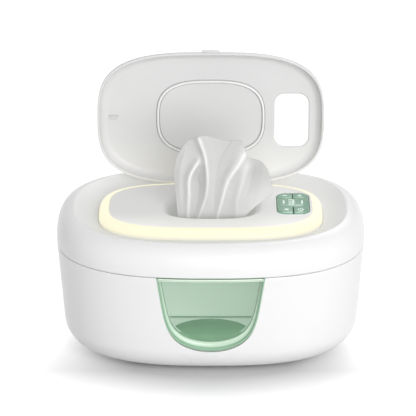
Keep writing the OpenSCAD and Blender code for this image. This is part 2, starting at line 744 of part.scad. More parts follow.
module deck_panel() {
    a0 = mouth_w / 2;
    b0 = mouth_d / 2;
    a1 = throat_w / 2;
    b1 = throat_d / 2;
    color("white") difference() {
        skin(concat(
            [deck_ring(1.4, deck_z - deck_t - seat_gap - 1.4), deck_ring(1.4, deck_z - deck_t - seat_gap),
             deck_ring(-0.3, deck_z - deck_t - seat_gap), deck_ring(-0.3, deck_z),
             ring(a0 + 5, b0 + 5, deck_z, 2.9, -mouth_shift)],
            [for (k = [0 : 5]) let (q = 18 * k)
                ring(a0 - (a0 - a1) * sin(q), b0 - (b0 - b1) * sin(q), deck_z - flare_h * (1 - cos(q)),
                     2.9, -mouth_shift)],
            [ring(a1, b1, throat_bottom, 2.9, -mouth_shift),
             ring(a1 + 1.8, b1 + 1.8, throat_bottom, 2.9, -mouth_shift),
             ring(a1 + 1.8, b1 + 1.8, deck_z - flare_h, 2.9, -mouth_shift),
             ring(a0 + 1, b0 + 1, deck_z - deck_t - seat_gap - 1.4, 2.9, -mouth_shift)]
        ), looped = true);
        translate([pad_x, pad_y, carrier_z - 0.1]) linear_extrude(20)
            round_rect(pad_w + 2 * pad_gap, pad_d + 2 * pad_gap, pad_r + pad_gap);
    }
}

module cover_liner() {
    color("white") difference() {
        union() {
            body_plate(flange_inset, liner_z, liner_t);
            for (k = [0 : 7]) let (q = 45 * k + 22.5, p = led_point(q))
                rod_z(1.8, liner_z, led_z - 0.05, p[0], p[1]);
            for (x = [-1, 1], y = [-1, 1])
                rod_z(1.8, liner_z, board_z - 0.05, pad_x - 1 + x * 7, pad_y + y * (pad_d / 2 - 4));
        }
        translate([0, -mouth_shift, liner_z - 1]) linear_extrude(liner_t + 2)
            polygon(outline(throat_w / 2 + 1.8 + seat_gap, throat_d / 2 + 1.8 + seat_gap, 2.9));
        for (p = liner_boss, x = [-1, 1], y = [-1, 1])
            rod_z(screw_r + 0.2, liner_z - 1, liner_z + liner_t + 1, x * p[0], y * p[1]);
    }
}

// Place of an LED, or of a post, under the light ring at a given angle
function led_point(q) = let (n = 2 / deck_power, a = deck_w / 2 + 1.5, b = deck_d / 2 + 1.5)
    [a * sign(cos(q)) * pow(abs(cos(q)), n), -deck_shift + b * sign(sin(q)) * pow(abs(sin(q)), n)];

module cover_gasket() {
    color([0.85, 0.87, 0.86]) difference() {
        body_plate(flange_inset + 1, flange_z + flange_t + seat_gap, 0.9);
        body_plate(flange_inset + 4.4, flange_z + flange_t, 3);
    }
}

module cover_screws() {
    color("dimgray") for (p = liner_boss, x = [-1, 1], y = [-1, 1]) {
        rod_z(screw_r - pin_gap, liner_z, liner_z + 9, x * p[0], y * p[1]);
        rod_z(1.9, liner_z - 0.5, liner_z, x * p[0], y * p[1]);
    }
}

module led_board() {
    color("seashell") translate([0, 0, led_z]) linear_extrude(led_t) difference() {
        polygon(outline(deck_w / 2 + 4.5, deck_d / 2 + 4.5, deck_power, -deck_shift));
        polygon(outline(deck_w / 2 - 1.5, deck_d / 2 - 1.5, deck_power, -deck_shift));
    }
}

module leds() {
    color("lightyellow") for (k = [0 : led_count - 1]) let (p = led_point(360 * k / led_count))
        translate([p[0], p[1], led_z + led_t + 0.6]) cube([2.8, 2.8, 1.1], center = true);
}

module control_board() {
    color("darkgreen") translate([pad_x - 1, pad_y, board_z]) linear_extrude(board_t)
        round_rect(pad_w - 3, pad_d - 1, 3);
}

// Centre of a key's stem, which is also where its switch stands
function stem_x(right) = pad_x + (right ? 1 : -1) * pad_w / 4;
function stem_y(back) = back ? (band_back + pad_y + pad_d / 2) / 2 : (band_front + pad_y - pad_d / 2) / 2;

module tact_switches() {
    color("black") for (right = [false, true], back = [false, true])
        translate([stem_x(right), stem_y(back), board_z + board_t + 0.05]) {
            translate([-2.2, -2.2, 0]) cube([4.4, 4.4, 1.8]);
            cylinder(r = 1.3, h = 2.3);
        }
}

module display_module() {
    z = board_z + board_t + 0.05;
    top = deck_z - deck_t - 1.6;
    color("black") difference() {
        box(pad_x - 7.8, pad_x + 7.8, band_front + 3, band_back - 3, z, top);
        box(pad_x - 3.2, pad_x + 3.2, band_front + 4, band_back - 4, top - 0.8, top + 1);
    }
}

// One rectangle of the keypad's face, kept inside the keypad's rounded outline
module pad_part(x0, x1, y0, y1, z0, z1) {
    translate([0, 0, z0]) linear_extrude(z1 - z0) intersection() {
        translate([pad_x, pad_y]) round_rect(pad_w, pad_d, pad_r);
        translate([x0, y0]) square([x1 - x0, y1 - y0]);
    }
}

module display_window() {
    color([0.25, 0.48, 0.33]) pad_part(pad_x - pad_w, pad_x + pad_w, band_front, band_back,
                                       deck_z - 1.6, key_top - 0.1);
}

// Frame under the keys that guides their stems and carries the display's window
module keypad_carrier() {
    color("white") difference() {
        union() {
            translate([pad_x, pad_y, carrier_z]) linear_extrude(carrier_t)
                round_rect(pad_w, pad_d, pad_r);
            for (x = [-1, 1]) box(pad_x + x * 10 - 1.5, pad_x + x * 10 + 1.5, band_front + 1, band_back - 1,
                                  carrier_z, deck_z - 1.6 - 0.05);
        }
        box(pad_x - 8.2, pad_x + 8.2, band_front + 2, band_back - 2, carrier_z - 1, carrier_z + 4);
        for (right = [false, true], back = [false, true])
            rod_z(stem_r + 0.1, carrier_z - 1, carrier_z + 4, stem_x(right), stem_y(back));
    }
}

module key(right, back) {
    half = key_split / 2;
    x0 = right ? pad_x + half : pad_x - pad_w;
    x1 = right ? pad_x + pad_w : pad_x - half;
    y0 = back ? band_back + half : pad_y - pad_d;
    y1 = back ? pad_y + pad_d : band_front - half;
    color([0.3, 0.55, 0.4]) {
        pad_part(x0, x1, y0, y1, key_top - key_t + 0.2, key_top);
        rod_z(stem_r, board_z + board_t + 2.35 + key_travel + 0.1, key_top - 1, stem_x(right), stem_y(back));
    }
}

module key_minus() { key(false, true); }
module key_plus() { key(true, true); }
module key_light() { key(false, false); }
module key_power() { key(true, false); }

// Turns a piece drawn in the lid's closed place to where the open lid holds it
module on_lid() {
    translate([0, lid_axis_y, lid_axis_z]) rotate([-lid_open, 0, 0])
        translate([0, -lid_axis_y, -lid_axis_z]) children();
}

function lid_ring(inset, z) = ring(lid_half_w - inset, lid_half_d - inset, z, deck_power, -deck_shift);

module lid_shell() {
    edge_h = lid_top - lid_rim - 3;
    in_h = lid_in - lid_rim - 2.4;
    color("whitesmoke") on_lid() difference() {
        union() {
            skin(concat(
                [for (k = [5 : -1 : 0]) let (q = 18 * k)
                    lid_ring(lid_t + lid_edge * (1 - cos(q)), lid_rim + 2.4 + in_h * sin(q))],
                [lid_ring(lid_t, lid_rim), lid_ring(0, lid_rim)],
                [for (k = [0 : 5]) let (q = 18 * k)
                    lid_ring((lid_edge + 2) * (1 - cos(q)), lid_rim + 3 + edge_h * sin(q))],
                [lid_ring(lid_half_d * 0.55, lid_top + 0.3)]
            ));
            rod_x(lid_barrel_r, -lid_barrel_l / 2, lid_barrel_l / 2, lid_axis_y, lid_axis_z);
            box(-tab_w / 2, tab_w / 2, -lid_half_d - deck_shift - 2, -lid_half_d - deck_shift + 1.2,
                lid_rim + 2, lid_rim + 3.6);
            lid_stud();
        }
        translate([pad_x, pad_y, lid_in - 3]) linear_extrude(10)
            round_rect(pad_w + 2 * hole_margin, pad_d + 2 * hole_margin, pad_r + hole_margin);
        mirrored_x() box(ear_x - move_gap, ear_x + ear_w + move_gap,
                         lid_axis_y - lid_barrel_r - 0.6, lid_axis_y + 8, lid_rim - 1,
                         lid_axis_z + lid_barrel_r + 0.6);
        rod_x(lid_pin_r + pin_gap, -40, 40, lid_axis_y, lid_axis_z);
    }
}

// Small half-round nub inside the lid
module lid_stud() {
    intersection() {
        rod_z(3.6, lid_in - 1.6, lid_in + 0.5, -lid_half_w + 12, 2.4);
        box(-lid_half_w, 0, -6, 2.4, 0, 200);
    }
}

module lid_seal() {
    color("gainsboro") on_lid() translate([0, seal_shift, deck_z + seat_gap])
        linear_extrude(lid_clear - 2 * seat_gap) difference() {
            polygon(outline(seal_w / 2, seal_d / 2, 2.9));
            polygon(outline(seal_w / 2 - 1.5, seal_d / 2 - 1.5, 2.9));
        }
}

module lid_pin() {
    color("silver") rod_x(lid_pin_r, -ear_x - ear_w + 0.3, ear_x + ear_w - 0.3, lid_axis_y, lid_axis_z);
}

// The wipe's upper edge from left to right, as x and z at even places across the sheet
wipe_edge = [[-28.5, 142], [-26, 156], [-20, 167], [-13, 173], [-5, 174.5], [2, 172.5], [9, 170],
             [17, 170], [24, 170], [26.5, 162], [28.5, 156], [34, 154.5], [39.5, 152.5], [44, 146],
             [46.5, 136], [48.5, 125]];
// The wipe's folds: the line of each as z and x, then its width and how far it stands out
folds = [[[[174, -10], [154, -3.8], [128, -3], [104, -10]], 3.4, 5],
         [[[153, -9.5], [140, -16.2], [124, -17], [104, -17.7]], 3, 4.5],
         [[[161, 27], [150, 20.8], [137, 13.1], [120, 8.5], [104, 4.7]], 4, 5],
         [[[151, 27.8], [135, 23.9], [120, 20]], 4.5, 3],
         [[[155, 42], [140, 40], [118, 34], [104, 21]], 7, 3]];
wipe_cols = 34; // steps across the sheet
wipe_rows = 14; // steps up the sheet
wipe_thick = 1.2;
wipe_tail = 74; // height of the sheet's lower end
wipe_foot_z = 100; // height at which the sheet starts to fan out
wipe_foot_x = [-25, 23]; // sides of the sheet in the throat
wipe_share = 0.22; // share of the rows below that height
wipe_seat = 4.4; // how far the sheet hangs behind the throat's front wall

// Value along a list of even stations
function along(list, u) =
    let (x = min(0.9999, max(0, u)) * (len(list) - 1), i = floor(x), f = x - i)
    list[i] * (1 - f) + list[i + 1] * f;

// How far a fold pushes the sheet forward at x and z
function fold_push(f, x, z) =
    let (high = f[0][0][0], end = min(1, max(0, (high + 4 - z) / 8)))
    f[2] * end * exp(-pow(abs(x - lookup(z, f[0])) / f[1], 1.4));

// Middle of the wipe at u across it and v up it
function wipe_point(u, v) =
    let (foot_x = wipe_foot_x[0] * (1 - u) + wipe_foot_x[1] * u,
         s = max(0, v - wipe_share) / (1 - wipe_share),
         top = along(wipe_edge, u),
         x = foot_x + (top[0] - foot_x) * s,
         z = v < wipe_share ? wipe_tail + (wipe_foot_z - wipe_tail) * v / wipe_share
                            : wipe_foot_z + (top[1] - wipe_foot_z) * s,
         open = 0.3 + 0.7 * min(1, 1.6 * s),
         push = open * sum([for (f = folds) fold_push(f, x, z)]))
    [x, 4 * s - mouth_shift - throat_d / 2 + wipe_seat - push, z];

function sum(list, i = 0) = i < len(list) ? list[i] + sum(list, i + 1) : 0;

module wipe_sheet() {
    n = wipe_cols + 1;
    front = [for (v = [0 : wipe_rows], u = [0 : wipe_cols]) wipe_point(u / wipe_cols, v / wipe_rows)];
    back = [for (p = front) p + [0, wipe_thick, 0]];
    m = len(front);
    faces = concat(
        [for (v = [0 : wipe_rows - 1], u = [0 : wipe_cols - 1]) let (a = v * n + u)
            [a, a + n, a + n + 1, a + 1]],
        [for (v = [0 : wipe_rows - 1], u = [0 : wipe_cols - 1]) let (a = m + v * n + u)
            [a, a + 1, a + n + 1, a + n]],
        [for (v = [0 : wipe_rows - 1]) let (a = v * n) [a, a + m, a + m + n, a + n]],
        [for (v = [0 : wipe_rows - 1]) let (a = v * n + wipe_cols) [a, a + n, a + m + n, a + m]],
        [for (u = [0 : wipe_cols - 1]) [u, u + 1, u + 1 + m, u + m]],
        [for (u = [0 : wipe_cols - 1]) let (a = wipe_rows * n + u) [a, a + m, a + m + 1, a + 1]]);
    tris = [for (f = faces) each [[f[0], f[1], f[2]], [f[0], f[2], f[3]]]];
    color("white") polyhedron(concat(front, back), tris, 10);
}
base_shell();
window_frame();
window_pane();
window_gasket();
inner_tub();
tub_divider();
moisture_pad();
heater_plate();
heater_film();
insulation_sheet();
heater_retainer();
retainer_screws();
thermistor();
thermal_fuse();
main_board();
board_components();
dc_jack();
bottom_cover();
bottom_screws();
feet();
base_hinge();
cover_hinge();
hinge_pin();
cover_shell();
glow_ring();
deck_panel();
cover_liner();
cover_gasket();
cover_screws();
led_board();
leds();
control_board();
tact_switches();
display_module();
display_window();
keypad_carrier();
key_minus();
key_plus();
key_light();
key_power();
lid_shell();
lid_seal();
lid_pin();
wipe_sheet();
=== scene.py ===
import json
from math import cos, exp, pi, radians, sin, sqrt, tau

import bmesh
import bpy
from mathutils import Matrix, Vector


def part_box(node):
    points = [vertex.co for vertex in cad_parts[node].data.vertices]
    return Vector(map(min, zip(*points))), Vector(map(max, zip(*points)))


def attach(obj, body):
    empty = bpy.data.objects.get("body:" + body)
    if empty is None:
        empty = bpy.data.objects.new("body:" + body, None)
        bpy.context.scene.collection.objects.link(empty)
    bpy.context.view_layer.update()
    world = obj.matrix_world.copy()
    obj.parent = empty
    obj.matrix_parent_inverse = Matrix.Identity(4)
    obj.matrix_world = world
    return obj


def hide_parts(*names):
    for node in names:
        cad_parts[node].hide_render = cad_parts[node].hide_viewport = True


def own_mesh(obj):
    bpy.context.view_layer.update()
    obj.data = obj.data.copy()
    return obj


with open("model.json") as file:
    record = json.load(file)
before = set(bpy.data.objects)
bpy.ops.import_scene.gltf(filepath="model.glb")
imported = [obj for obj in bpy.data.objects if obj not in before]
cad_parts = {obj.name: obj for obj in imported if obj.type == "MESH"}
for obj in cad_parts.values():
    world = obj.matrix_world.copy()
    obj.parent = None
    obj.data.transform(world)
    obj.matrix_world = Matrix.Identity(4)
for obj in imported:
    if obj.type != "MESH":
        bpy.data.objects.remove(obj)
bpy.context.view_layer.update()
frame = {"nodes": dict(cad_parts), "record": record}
MM = 0.001
SIDES = 192  # points round each casing

# Sizes of the casing, in millimetres
HALF_W, HALF_D = 120, 88
SEAM, RIM, FOOT = 85.5, 109.5, 2
BASE_TOP, COVER_BOTTOM = 85.2, 85.8
BODY, DECK, MOUTH = 2.65, 3.15, 2.9  # powers of the outlines seen from above
TAPER, BOTTOM_R = 6.2, 21
FLAT_W, FLAT_D = HALF_W - TAPER - BOTTOM_R, HALF_D - TAPER - BOTTOM_R
CREST_W, CREST_H = 14, 18
WALL = 2.5
DECK_W, DECK_D, DECK_Y, DECK_Z = 79.5, 44, -0.5, 109.3
RING_W, RING_DROP, RING_Z = 7.9, 7.4, 101.9
MOUTH_W, MOUTH_D, MOUTH_Y = 40.8, 27.8, -1
THROAT_W, THROAT_D, FLARE = 33, 19, 10
PAD_X, PAD_Y, PAD_W, PAD_D, PAD_R = 64.2, 3, 25, 42, 7.5
BAND_FRONT, BAND_BACK = -3.2, 12.2
LID_AXIS = Vector((0, 54.6, 104.2))
LID_RIM, LID_IN, LID_TOP = 103.1, 111.3, 113.4
LID_W, LID_D = 89.9, 54.4
LID_OPEN = radians(-93)
WIN_W, WIN_H, WIN_TAPER, WIN_POWER = 41, 61.4, 0.22, 6.3
PANE_FACE, PANE_REAR = -80.5, -78.7


# ---------------------------------------------------------------- shapes

def oval(half_w, half_d, power, z, y=0):
    """Outline seen from above: where point i of it lies."""
    def place(i):
        c, s = cos(tau * i / SIDES), sin(tau * i / SIDES)
        reach = (abs(c / half_w) ** power + abs(s / half_d) ** power) ** (-1 / power)
        return Vector((reach * c, y + reach * s, z))
    return place


def base_inset(z, off=0):
    rise, r = z - FOOT, BOTTOM_R - off
    curve = r - sqrt(max(0, r * r - (BOTTOM_R - rise) ** 2)) if rise < BOTTOM_R else 0
    return TAPER * (BASE_TOP - z) / (BASE_TOP - FOOT) + off + curve


def base_oval(z, inset):
    return oval(HALF_W - inset, HALF_D - inset, BODY, z)


def crest_oval(turn, off=0):
    """Outline of the cover's rounded top edge, turn going from 0 at its side to 1 at its rim."""
    c, s = cos(turn * pi / 2), sin(turn * pi / 2)
    return base_oval(RIM - CREST_H * (1 - s) - off * s, CREST_W * (1 - c) + off * c)


def dish_oval(share, off=0):
    """Outline of the dish between the cover's rim and the light ring."""
    w0, d0 = HALF_W - CREST_W, HALF_D - CREST_W
    w1, d1 = DECK_W + RING_W + 0.4, DECK_D + RING_W + 0.4
    fall = (RIM - RING_Z) * (1 - (1 - share) ** 1.5)
    return oval(w0 + (w1 - w0) * share, d0 + (d1 - d0) * share, BODY + (DECK - BODY) * share,
                RIM - fall - off, DECK_Y * share)


def deck_oval(grow, z):
    return oval(DECK_W + grow, DECK_D + grow, DECK, z, DECK_Y)


def front_y(z):
    """How far forward the base's front lies, as a function of x, at height z."""
    inset = base_inset(z)
    half_w, half_d = HALF_W - inset, HALF_D - inset
    return lambda x: -half_d * (1 - (abs(x) / half_w) ** BODY) ** (1 / BODY)


def window_edge(grow=0, top=0, drop=0, y=None):
    """Outline of the window, on the base's front or at one depth."""
    half_w, height = WIN_W + grow, WIN_H + grow - top - drop
    arc = SIDES * 3 // 4

    def place(i):
        if i <= arc:
            q = 2 * i / arc
            q = (q if q <= 1 else 2 - q) ** 2.2 * pi / 2
            t = sin(q) ** (2 / WIN_POWER)
            x = half_w * (1 - WIN_TAPER * t) * cos(q) * (1 if 2 * i <= arc else -1)
            z = BASE_TOP - top - height * t
        else:
            x, z = half_w * (2 * (i - arc) / (SIDES - arc) - 1), BASE_TOP - top
        return Vector((x, front_y(z)(x) if y is None else y, z))
    return place


def pad_edge(half_w, half_d, radius, z, x=PAD_X, y=PAD_Y):
    """Rounded rectangle round the keypad."""
    quarter = SIDES // 4

    def place(i):
        q, k = divmod(i % SIDES, quarter)
        turn = pi / 2 * (q + k / (quarter - 1))
        cx = (half_w - radius) * (1 if q in (0, 3) else -1)
        cy = (half_d - radius) * (1 if q in (0, 1) else -1)
        return Vector((x + cx + radius * cos(turn), y + cy + radius * sin(turn), z))
    return place


def lofted(outlines, looped=False, caps=False):
    """One skin drawn from outline to outline, closed on itself or by its two ends."""
    bm = bmesh.new()
    place = bm.verts.layers.int.new("place")
    ring = bmesh.ops.create_circle(bm, segments=SIDES, radius=1)["verts"]
    for i, vert in enumerate(ring):
        vert[place] = i
        vert.co = outlines[0](i)
    edges = bm.edges[:]
    first = list(edges)
    for outline in outlines[1:] + (outlines[:1] if looped else []):
        made = bmesh.ops.extrude_edge_only(bm, edges=edges)["geom"]
        for vert in made:
            if isinstance(vert, bmesh.types.BMVert):
                vert.co = outline(vert[place])
        edges = [e for e in made if isinstance(e, bmesh.types.BMEdge) and len(e.link_faces) == 1]
    if caps:
        for loop in (first, edges):
            bmesh.ops.edgeloop_fill(bm, edges=loop)
    bmesh.ops.remove_doubles(bm, verts=bm.verts, dist=1e-5)
    bmesh.ops.dissolve_degenerate(bm, edges=bm.edges, dist=1e-5)
    bmesh.ops.recalc_face_normals(bm, faces=bm.faces)
    return bm


def block(x0, x1, y0, y1, z0, z1, bevel=0.4, segments=3):
    """Box with rounded edges."""
    bm = bmesh.new()
    bmesh.ops.create_cube(bm, size=1)
    bmesh.ops.scale(bm, vec=(x1 - x0, y1 - y0, z1 - z0), verts=bm.verts)
    bmesh.ops.translate(bm, vec=((x0 + x1) / 2, (y0 + y1) / 2, (z0 + z1) / 2), verts=bm.verts)
    if bevel:
        bmesh.ops.bevel(bm, geom=bm.edges[:], offset=bevel, segments=segments, profile=0.5,
                        affect="EDGES", material=-1)
    return bm


def rod(radius, length, centre, axis="X", bevel=0.3, segments=64):
    """Round bar along an axis, with softened ends."""
    bm = bmesh.new()
    bmesh.ops.create_cone(bm, cap_ends=True, segments=segments, radius1=radius, radius2=radius,
                          depth=length)
    if bevel:
        rims = [e for e in bm.edges if any(len(f.verts) > 4 for f in e.link_faces)]
        bmesh.ops.bevel(bm, geom=rims, offset=bevel, segments=3, profile=0.5, affect="EDGES",
                        material=-1)
    turn = {"X": Matrix.Rotation(pi / 2, 3, "Y"), "Y": Matrix.Rotation(pi / 2, 3, "X"),
            "Z": Matrix.Identity(3)}[axis]
    bmesh.ops.rotate(bm, cent=(0, 0, 0), matrix=turn, verts=bm.verts)
    bmesh.ops.translate(bm, vec=centre, verts=bm.verts)
    return bm


def merge(bm, *others):
    """Adds other shapes to a shape."""
    for other in others:
        mesh = bpy.data.meshes.new("part")
        other.to_mesh(mesh)
        other.free()
        bm.from_mesh(mesh)
        bpy.data.meshes.remove(mesh)
    return bm


def solid(name, bm, sharp=35):
    """Object from a shape drawn in millimetres, smooth but for its sharp edges."""
    bmesh.ops.scale(bm, vec=(MM, MM, MM), verts=bm.verts)
    mesh = bpy.data.meshes.new(name)
    for face in bm.faces:
        face.smooth = True
    for edge in bm.edges:
        edge.smooth = len(edge.link_faces) < 2 or edge.calc_face_angle(0) < radians(sharp)
    bm.to_mesh(mesh)
    bm.free()
    piece = bpy.data.objects.new(name, mesh)
    bpy.context.scene.collection.objects.link(piece)
    return piece


def settle(piece):
    """Makes a piece's modifiers part of its mesh."""
    bpy.context.view_layer.update()
    shape = piece.evaluated_get(bpy.context.evaluated_depsgraph_get())
    mesh = bpy.data.meshes.new_from_object(shape)
    piece.modifiers.clear()
    piece.data = mesh
    return piece


def cut(piece, *cutters, sharp=35):
    """Takes each cutter out of a piece."""
    for k, shape in enumerate(cutters):
        cutter = solid("cutter", shape)
        step = piece.modifiers.new("cut", "BOOLEAN")
        step.operation, step.solver, step.object = "DIFFERENCE", "EXACT", cutter
        settle(piece)
        bpy.data.objects.remove(cutter)
    bm = bmesh.new()
    bm.from_mesh(piece.data)
    bmesh.ops.remove_doubles(bm, verts=bm.verts, dist=2e-6)
    bmesh.ops.dissolve_degenerate(bm, edges=bm.edges, dist=2e-6)
    wide = [f for f in bm.faces if len(f.verts) > 4]
    bmesh.ops.triangulate(bm, faces=wide)
    for edge in bm.edges:
        edge.smooth = len(edge.link_faces) < 2 or edge.calc_face_angle(0) < radians(sharp)
    bm.to_mesh(piece.data)
    bm.free()
    return piece


def opened(bm):
    """Turns a shape drawn for the closed lid to where the open lid holds it."""
    bmesh.ops.rotate(bm, cent=LID_AXIS, matrix=Matrix.Rotation(LID_OPEN, 3, "X"), verts=bm.verts)
    return bm


def fit(piece, body, slot, material, *nodes):
    """Gives a piece its finish and its body, and lets it stand for its CAD nodes."""
    piece.data.materials.clear()
    piece.data.materials.append(material)
    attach(piece, body)
    if nodes:
        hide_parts(*nodes)
    return piece


# ---------------------------------------------------------------- finishes

def link(tree, source, target):
    tree.links.new(source, target)


def finish(name, colour, rough, spread=0.02, grain=900, bump=0.03, depth=0.00002, tone=0.96,
           tone_scale=9, **extra):
    """Moulded or sheet surface: a faint drift of tone, a drift of roughness and a fine grain."""
    mat = bpy.data.materials.new(name)
    mat.use_nodes = True
    tree = mat.node_tree
    shader = tree.nodes["Principled BSDF"]
    where = tree.nodes.new("ShaderNodeTexCoord").outputs["Object"]
    drift = tree.nodes.new("ShaderNodeTexNoise")
    drift.inputs["Scale"].default_value = tone_scale
    drift.inputs["Detail"].default_value = 3
    link(tree, where, drift.inputs["Vector"])
    ramp = tree.nodes.new("ShaderNodeValToRGB")
    ramp.color_ramp.elements[0].position = 0.3
    ramp.color_ramp.elements[1].position = 0.7
    ramp.color_ramp.elements[0].color = [c * tone for c in colour] + [1]
    ramp.color_ramp.elements[1].color = list(colour) + [1]
    link(tree, drift.outputs["Fac"], ramp.inputs["Fac"])
    link(tree, ramp.outputs["Color"], shader.inputs["Base Color"])
    polish = tree.nodes.new("ShaderNodeMapRange")
    polish.inputs["To Min"].default_value = rough - spread
    polish.inputs["To Max"].default_value = rough + spread
    link(tree, drift.outputs["Fac"], polish.inputs["Value"])
    link(tree, polish.outputs["Result"], shader.inputs["Roughness"])
    if bump:
        pores = tree.nodes.new("ShaderNodeTexNoise")
        pores.inputs["Scale"].default_value = grain
        pores.inputs["Detail"].default_value = 4
        link(tree, where, pores.inputs["Vector"])
        relief = tree.nodes.new("ShaderNodeBump")
        relief.inputs["Strength"].default_value = bump
        relief.inputs["Distance"].default_value = depth
        link(tree, pores.outputs["Fac"], relief.inputs["Height"])
        link(tree, relief.outputs["Normal"], shader.inputs["Normal"])
    for key, value in extra.items():
        shader.inputs[key.replace("_", " ")].default_value = value
    return mat


white = (0.82, 0.82, 0.82)
casing_white = finish("casing_white", (0.84, 0.84, 0.84), 0.34, bump=0.05, Coat_Weight=0.12,
                      Coat_Roughness=0.3)
# The deck's emission is a painted glow, set further down
deck_white_painted_glow = finish("deck_white_painted_glow", (0.84, 0.84, 0.83), 0.5, bump=0.06, Emission_Color=(1, 0.98, 0.88, 1))
# The nub's grey is painted shade, so that it shows on the lid
nub_painted_shade = finish("nub_painted_shade", (0.62, 0.62, 0.62), 0.4, bump=0.05)
# The lid's emission is a painted glow, set further down
lid_white = finish("lid_white", (0.69, 0.69, 0.69), 0.4, bump=0.05, Emission_Color=(1, 0.98, 0.92, 1))
liner_white = finish("liner_white", (0.8, 0.82, 0.8), 0.5)
ring_light = finish("ring_light", (0.34, 0.33, 0.27), 0.4, bump=0.02, tone=0.99,
                    Emission_Color=(1, 0.955, 0.68, 1), Emission_Strength=0.68)
window_green = finish("window_green", (0.3, 0.55, 0.35), 0.08, bump=0, tone=0.97, Alpha=0.24,
                      Coat_Weight=0.6, Coat_Roughness=0.04)
frame_green = finish("frame_green", (0.62, 0.8, 0.64), 0.16, bump=0.01, tone=0.94, Alpha=0.93,
                     Coat_Weight=0.5, Coat_Roughness=0.12)
# The lip's emission is a painted glow against the shade under the cover
lip_green_painted_glow = finish("lip_green_painted_glow", (0.7, 0.8, 0.7), 0.25, bump=0.01, Coat_Weight=0.3,
                   Coat_Roughness=0.2, Emission_Color=(0.86, 1, 0.86, 1), Emission_Strength=0.1)
# The tub and its divider glow a little: painted light inside the tub
tub_white_painted_glow = finish("tub_white_painted_glow", (0.74, 0.77, 0.75), 0.5, Emission_Color=(0.95, 1, 0.96, 1),
                   Emission_Strength=0.15)
divider_painted_glow = finish("divider_painted_glow", (0.68, 0.75, 0.69), 0.5, Emission_Color=(0.92, 1, 0.92, 1),
                      Emission_Strength=0.21)
key_green = finish("key_green", (0.165, 0.375, 0.245), 0.2, bump=0.02, tone=0.92, tone_scale=40,
                   Coat_Weight=0.5, Coat_Roughness=0.1)
rim_white = finish("rim_white", (0.9, 0.9, 0.9), 0.25, bump=0.02)
sign_white = finish("sign_white", (0.78, 0.9, 0.82), 0.4, bump=0, Emission_Color=(0.8, 1, 0.88, 1),
                    Emission_Strength=0.18)
soft_silicone = finish("soft_silicone", (0.9, 0.9, 0.9), 0.38, grain=500)
# The felt's faint green emission is a painted glow
felt_green_painted_light = finish("felt_green_painted_light", (0.26, 0.44, 0.28), 0.95, grain=1400, bump=0.6, depth=0.0003,
                    tone=0.8, tone_scale=60, Emission_Color=(0.35, 1, 0.42, 1), Emission_Strength=0.05)
foot_grey = finish("foot_grey", (0.3, 0.31, 0.31), 0.75, grain=1500, bump=0.2, depth=0.0001)
sheet_metal = finish("sheet_metal", (0.75, 0.76, 0.78), 0.32, tone=0.92, tone_scale=30, bump=0.08,
                     grain=300, Metallic=1.0)
pin_steel = finish("pin_steel", (0.62, 0.63, 0.65), 0.25, tone=0.9, tone_scale=80, Metallic=1.0)
film_amber = finish("film_amber", (0.7, 0.32, 0.06), 0.25, tone=0.8, tone_scale=50)
foam_cream = finish("foam_cream", (0.75, 0.73, 0.62), 0.9, grain=900, bump=0.5, depth=0.0002)
board_green = finish("board_green", (0.03, 0.16, 0.07), 0.35, tone=0.75, tone_scale=120)
part_black = finish("part_black", (0.02, 0.02, 0.022), 0.45, tone=0.8, tone_scale=60)
emitter = finish("emitter", (0.95, 0.9, 0.6), 0.4, bump=0, Emission_Color=(1, 0.92, 0.65, 1),
                 Emission_Strength=0.5)



def blend_colour(mat, factor, colour):
    """Turns a finish's colour towards another one by a factor."""
    tree = mat.node_tree
    mix = tree.nodes.new("ShaderNodeMix")
    mix.data_type = "RGBA"
    mix.inputs["B"].default_value = (*colour, 1)
    base = tree.nodes["Principled BSDF"].inputs["Base Color"]
    link(tree, factor, mix.inputs["Factor"])
    link(tree, base.links[0].from_socket, mix.inputs["A"])
    link(tree, mix.outputs["Result"], base)


def along_axis(mat, axis, start, end, low=0.0, high=1.0):
    """A factor that runs from low to high along an axis of the object."""
    tree = mat.node_tree
    place = tree.nodes.new("ShaderNodeSeparateXYZ")
    link(tree, tree.nodes.new("ShaderNodeTexCoord").outputs["Object"], place.inputs[0])
    run = tree.nodes.new("ShaderNodeMapRange")
    run.interpolation_type = "SMOOTHSTEP"
    for name, value in (("From Min", start), ("From Max", end), ("To Min", low), ("To Max", high)):
        run.inputs[name].default_value = value
    link(tree, place.outputs[axis], run.inputs["Value"])
    return run.outputs["Result"]


# The felt is darker towards its back as painted shade, and the ring's light fades at its outer foot.
# Painted glow stands for the ring's light on the deck's front and throat, and on the part of the lid that it stands by
painted_ring_glow = deck_white_painted_glow.node_tree.nodes.new("ShaderNodeMath")
painted_ring_glow.operation = "MAXIMUM"
link(deck_white_painted_glow.node_tree, along_axis(deck_white_painted_glow, "Y", -0.012, -0.045, 0.03, 0.17), painted_ring_glow.inputs[0])
link(deck_white_painted_glow.node_tree, along_axis(deck_white_painted_glow, "Z", 0.107, 0.1, 0.0, 0.06), painted_ring_glow.inputs[1])
link(deck_white_painted_glow.node_tree, painted_ring_glow.outputs[0],
     deck_white_painted_glow.node_tree.nodes["Principled BSDF"].inputs["Emission Strength"])
# Painted glow: the lid's lower part glows warm, standing for the ring's light on it
link(lid_white.node_tree, along_axis(lid_white, "Z", 0.155, 0.11, 0.0, 0.1),
     lid_white.node_tree.nodes["Principled BSDF"].inputs["Emission Strength"])
# Painted shade: the felt darkens towards its back
blend_colour(felt_green_painted_light, along_axis(felt_green_painted_light, "Y", -0.08, -0.05), (0.01, 0.05, 0.015))
blend_colour(ring_light, along_axis(ring_light, "Z", 0.1045, 0.1018), (0.85, 0.85, 0.8))
link(ring_light.node_tree, along_axis(ring_light, "Z", 0.1018, 0.1048, 0.12, 0.68),
     ring_light.node_tree.nodes["Principled BSDF"].inputs["Emission Strength"])
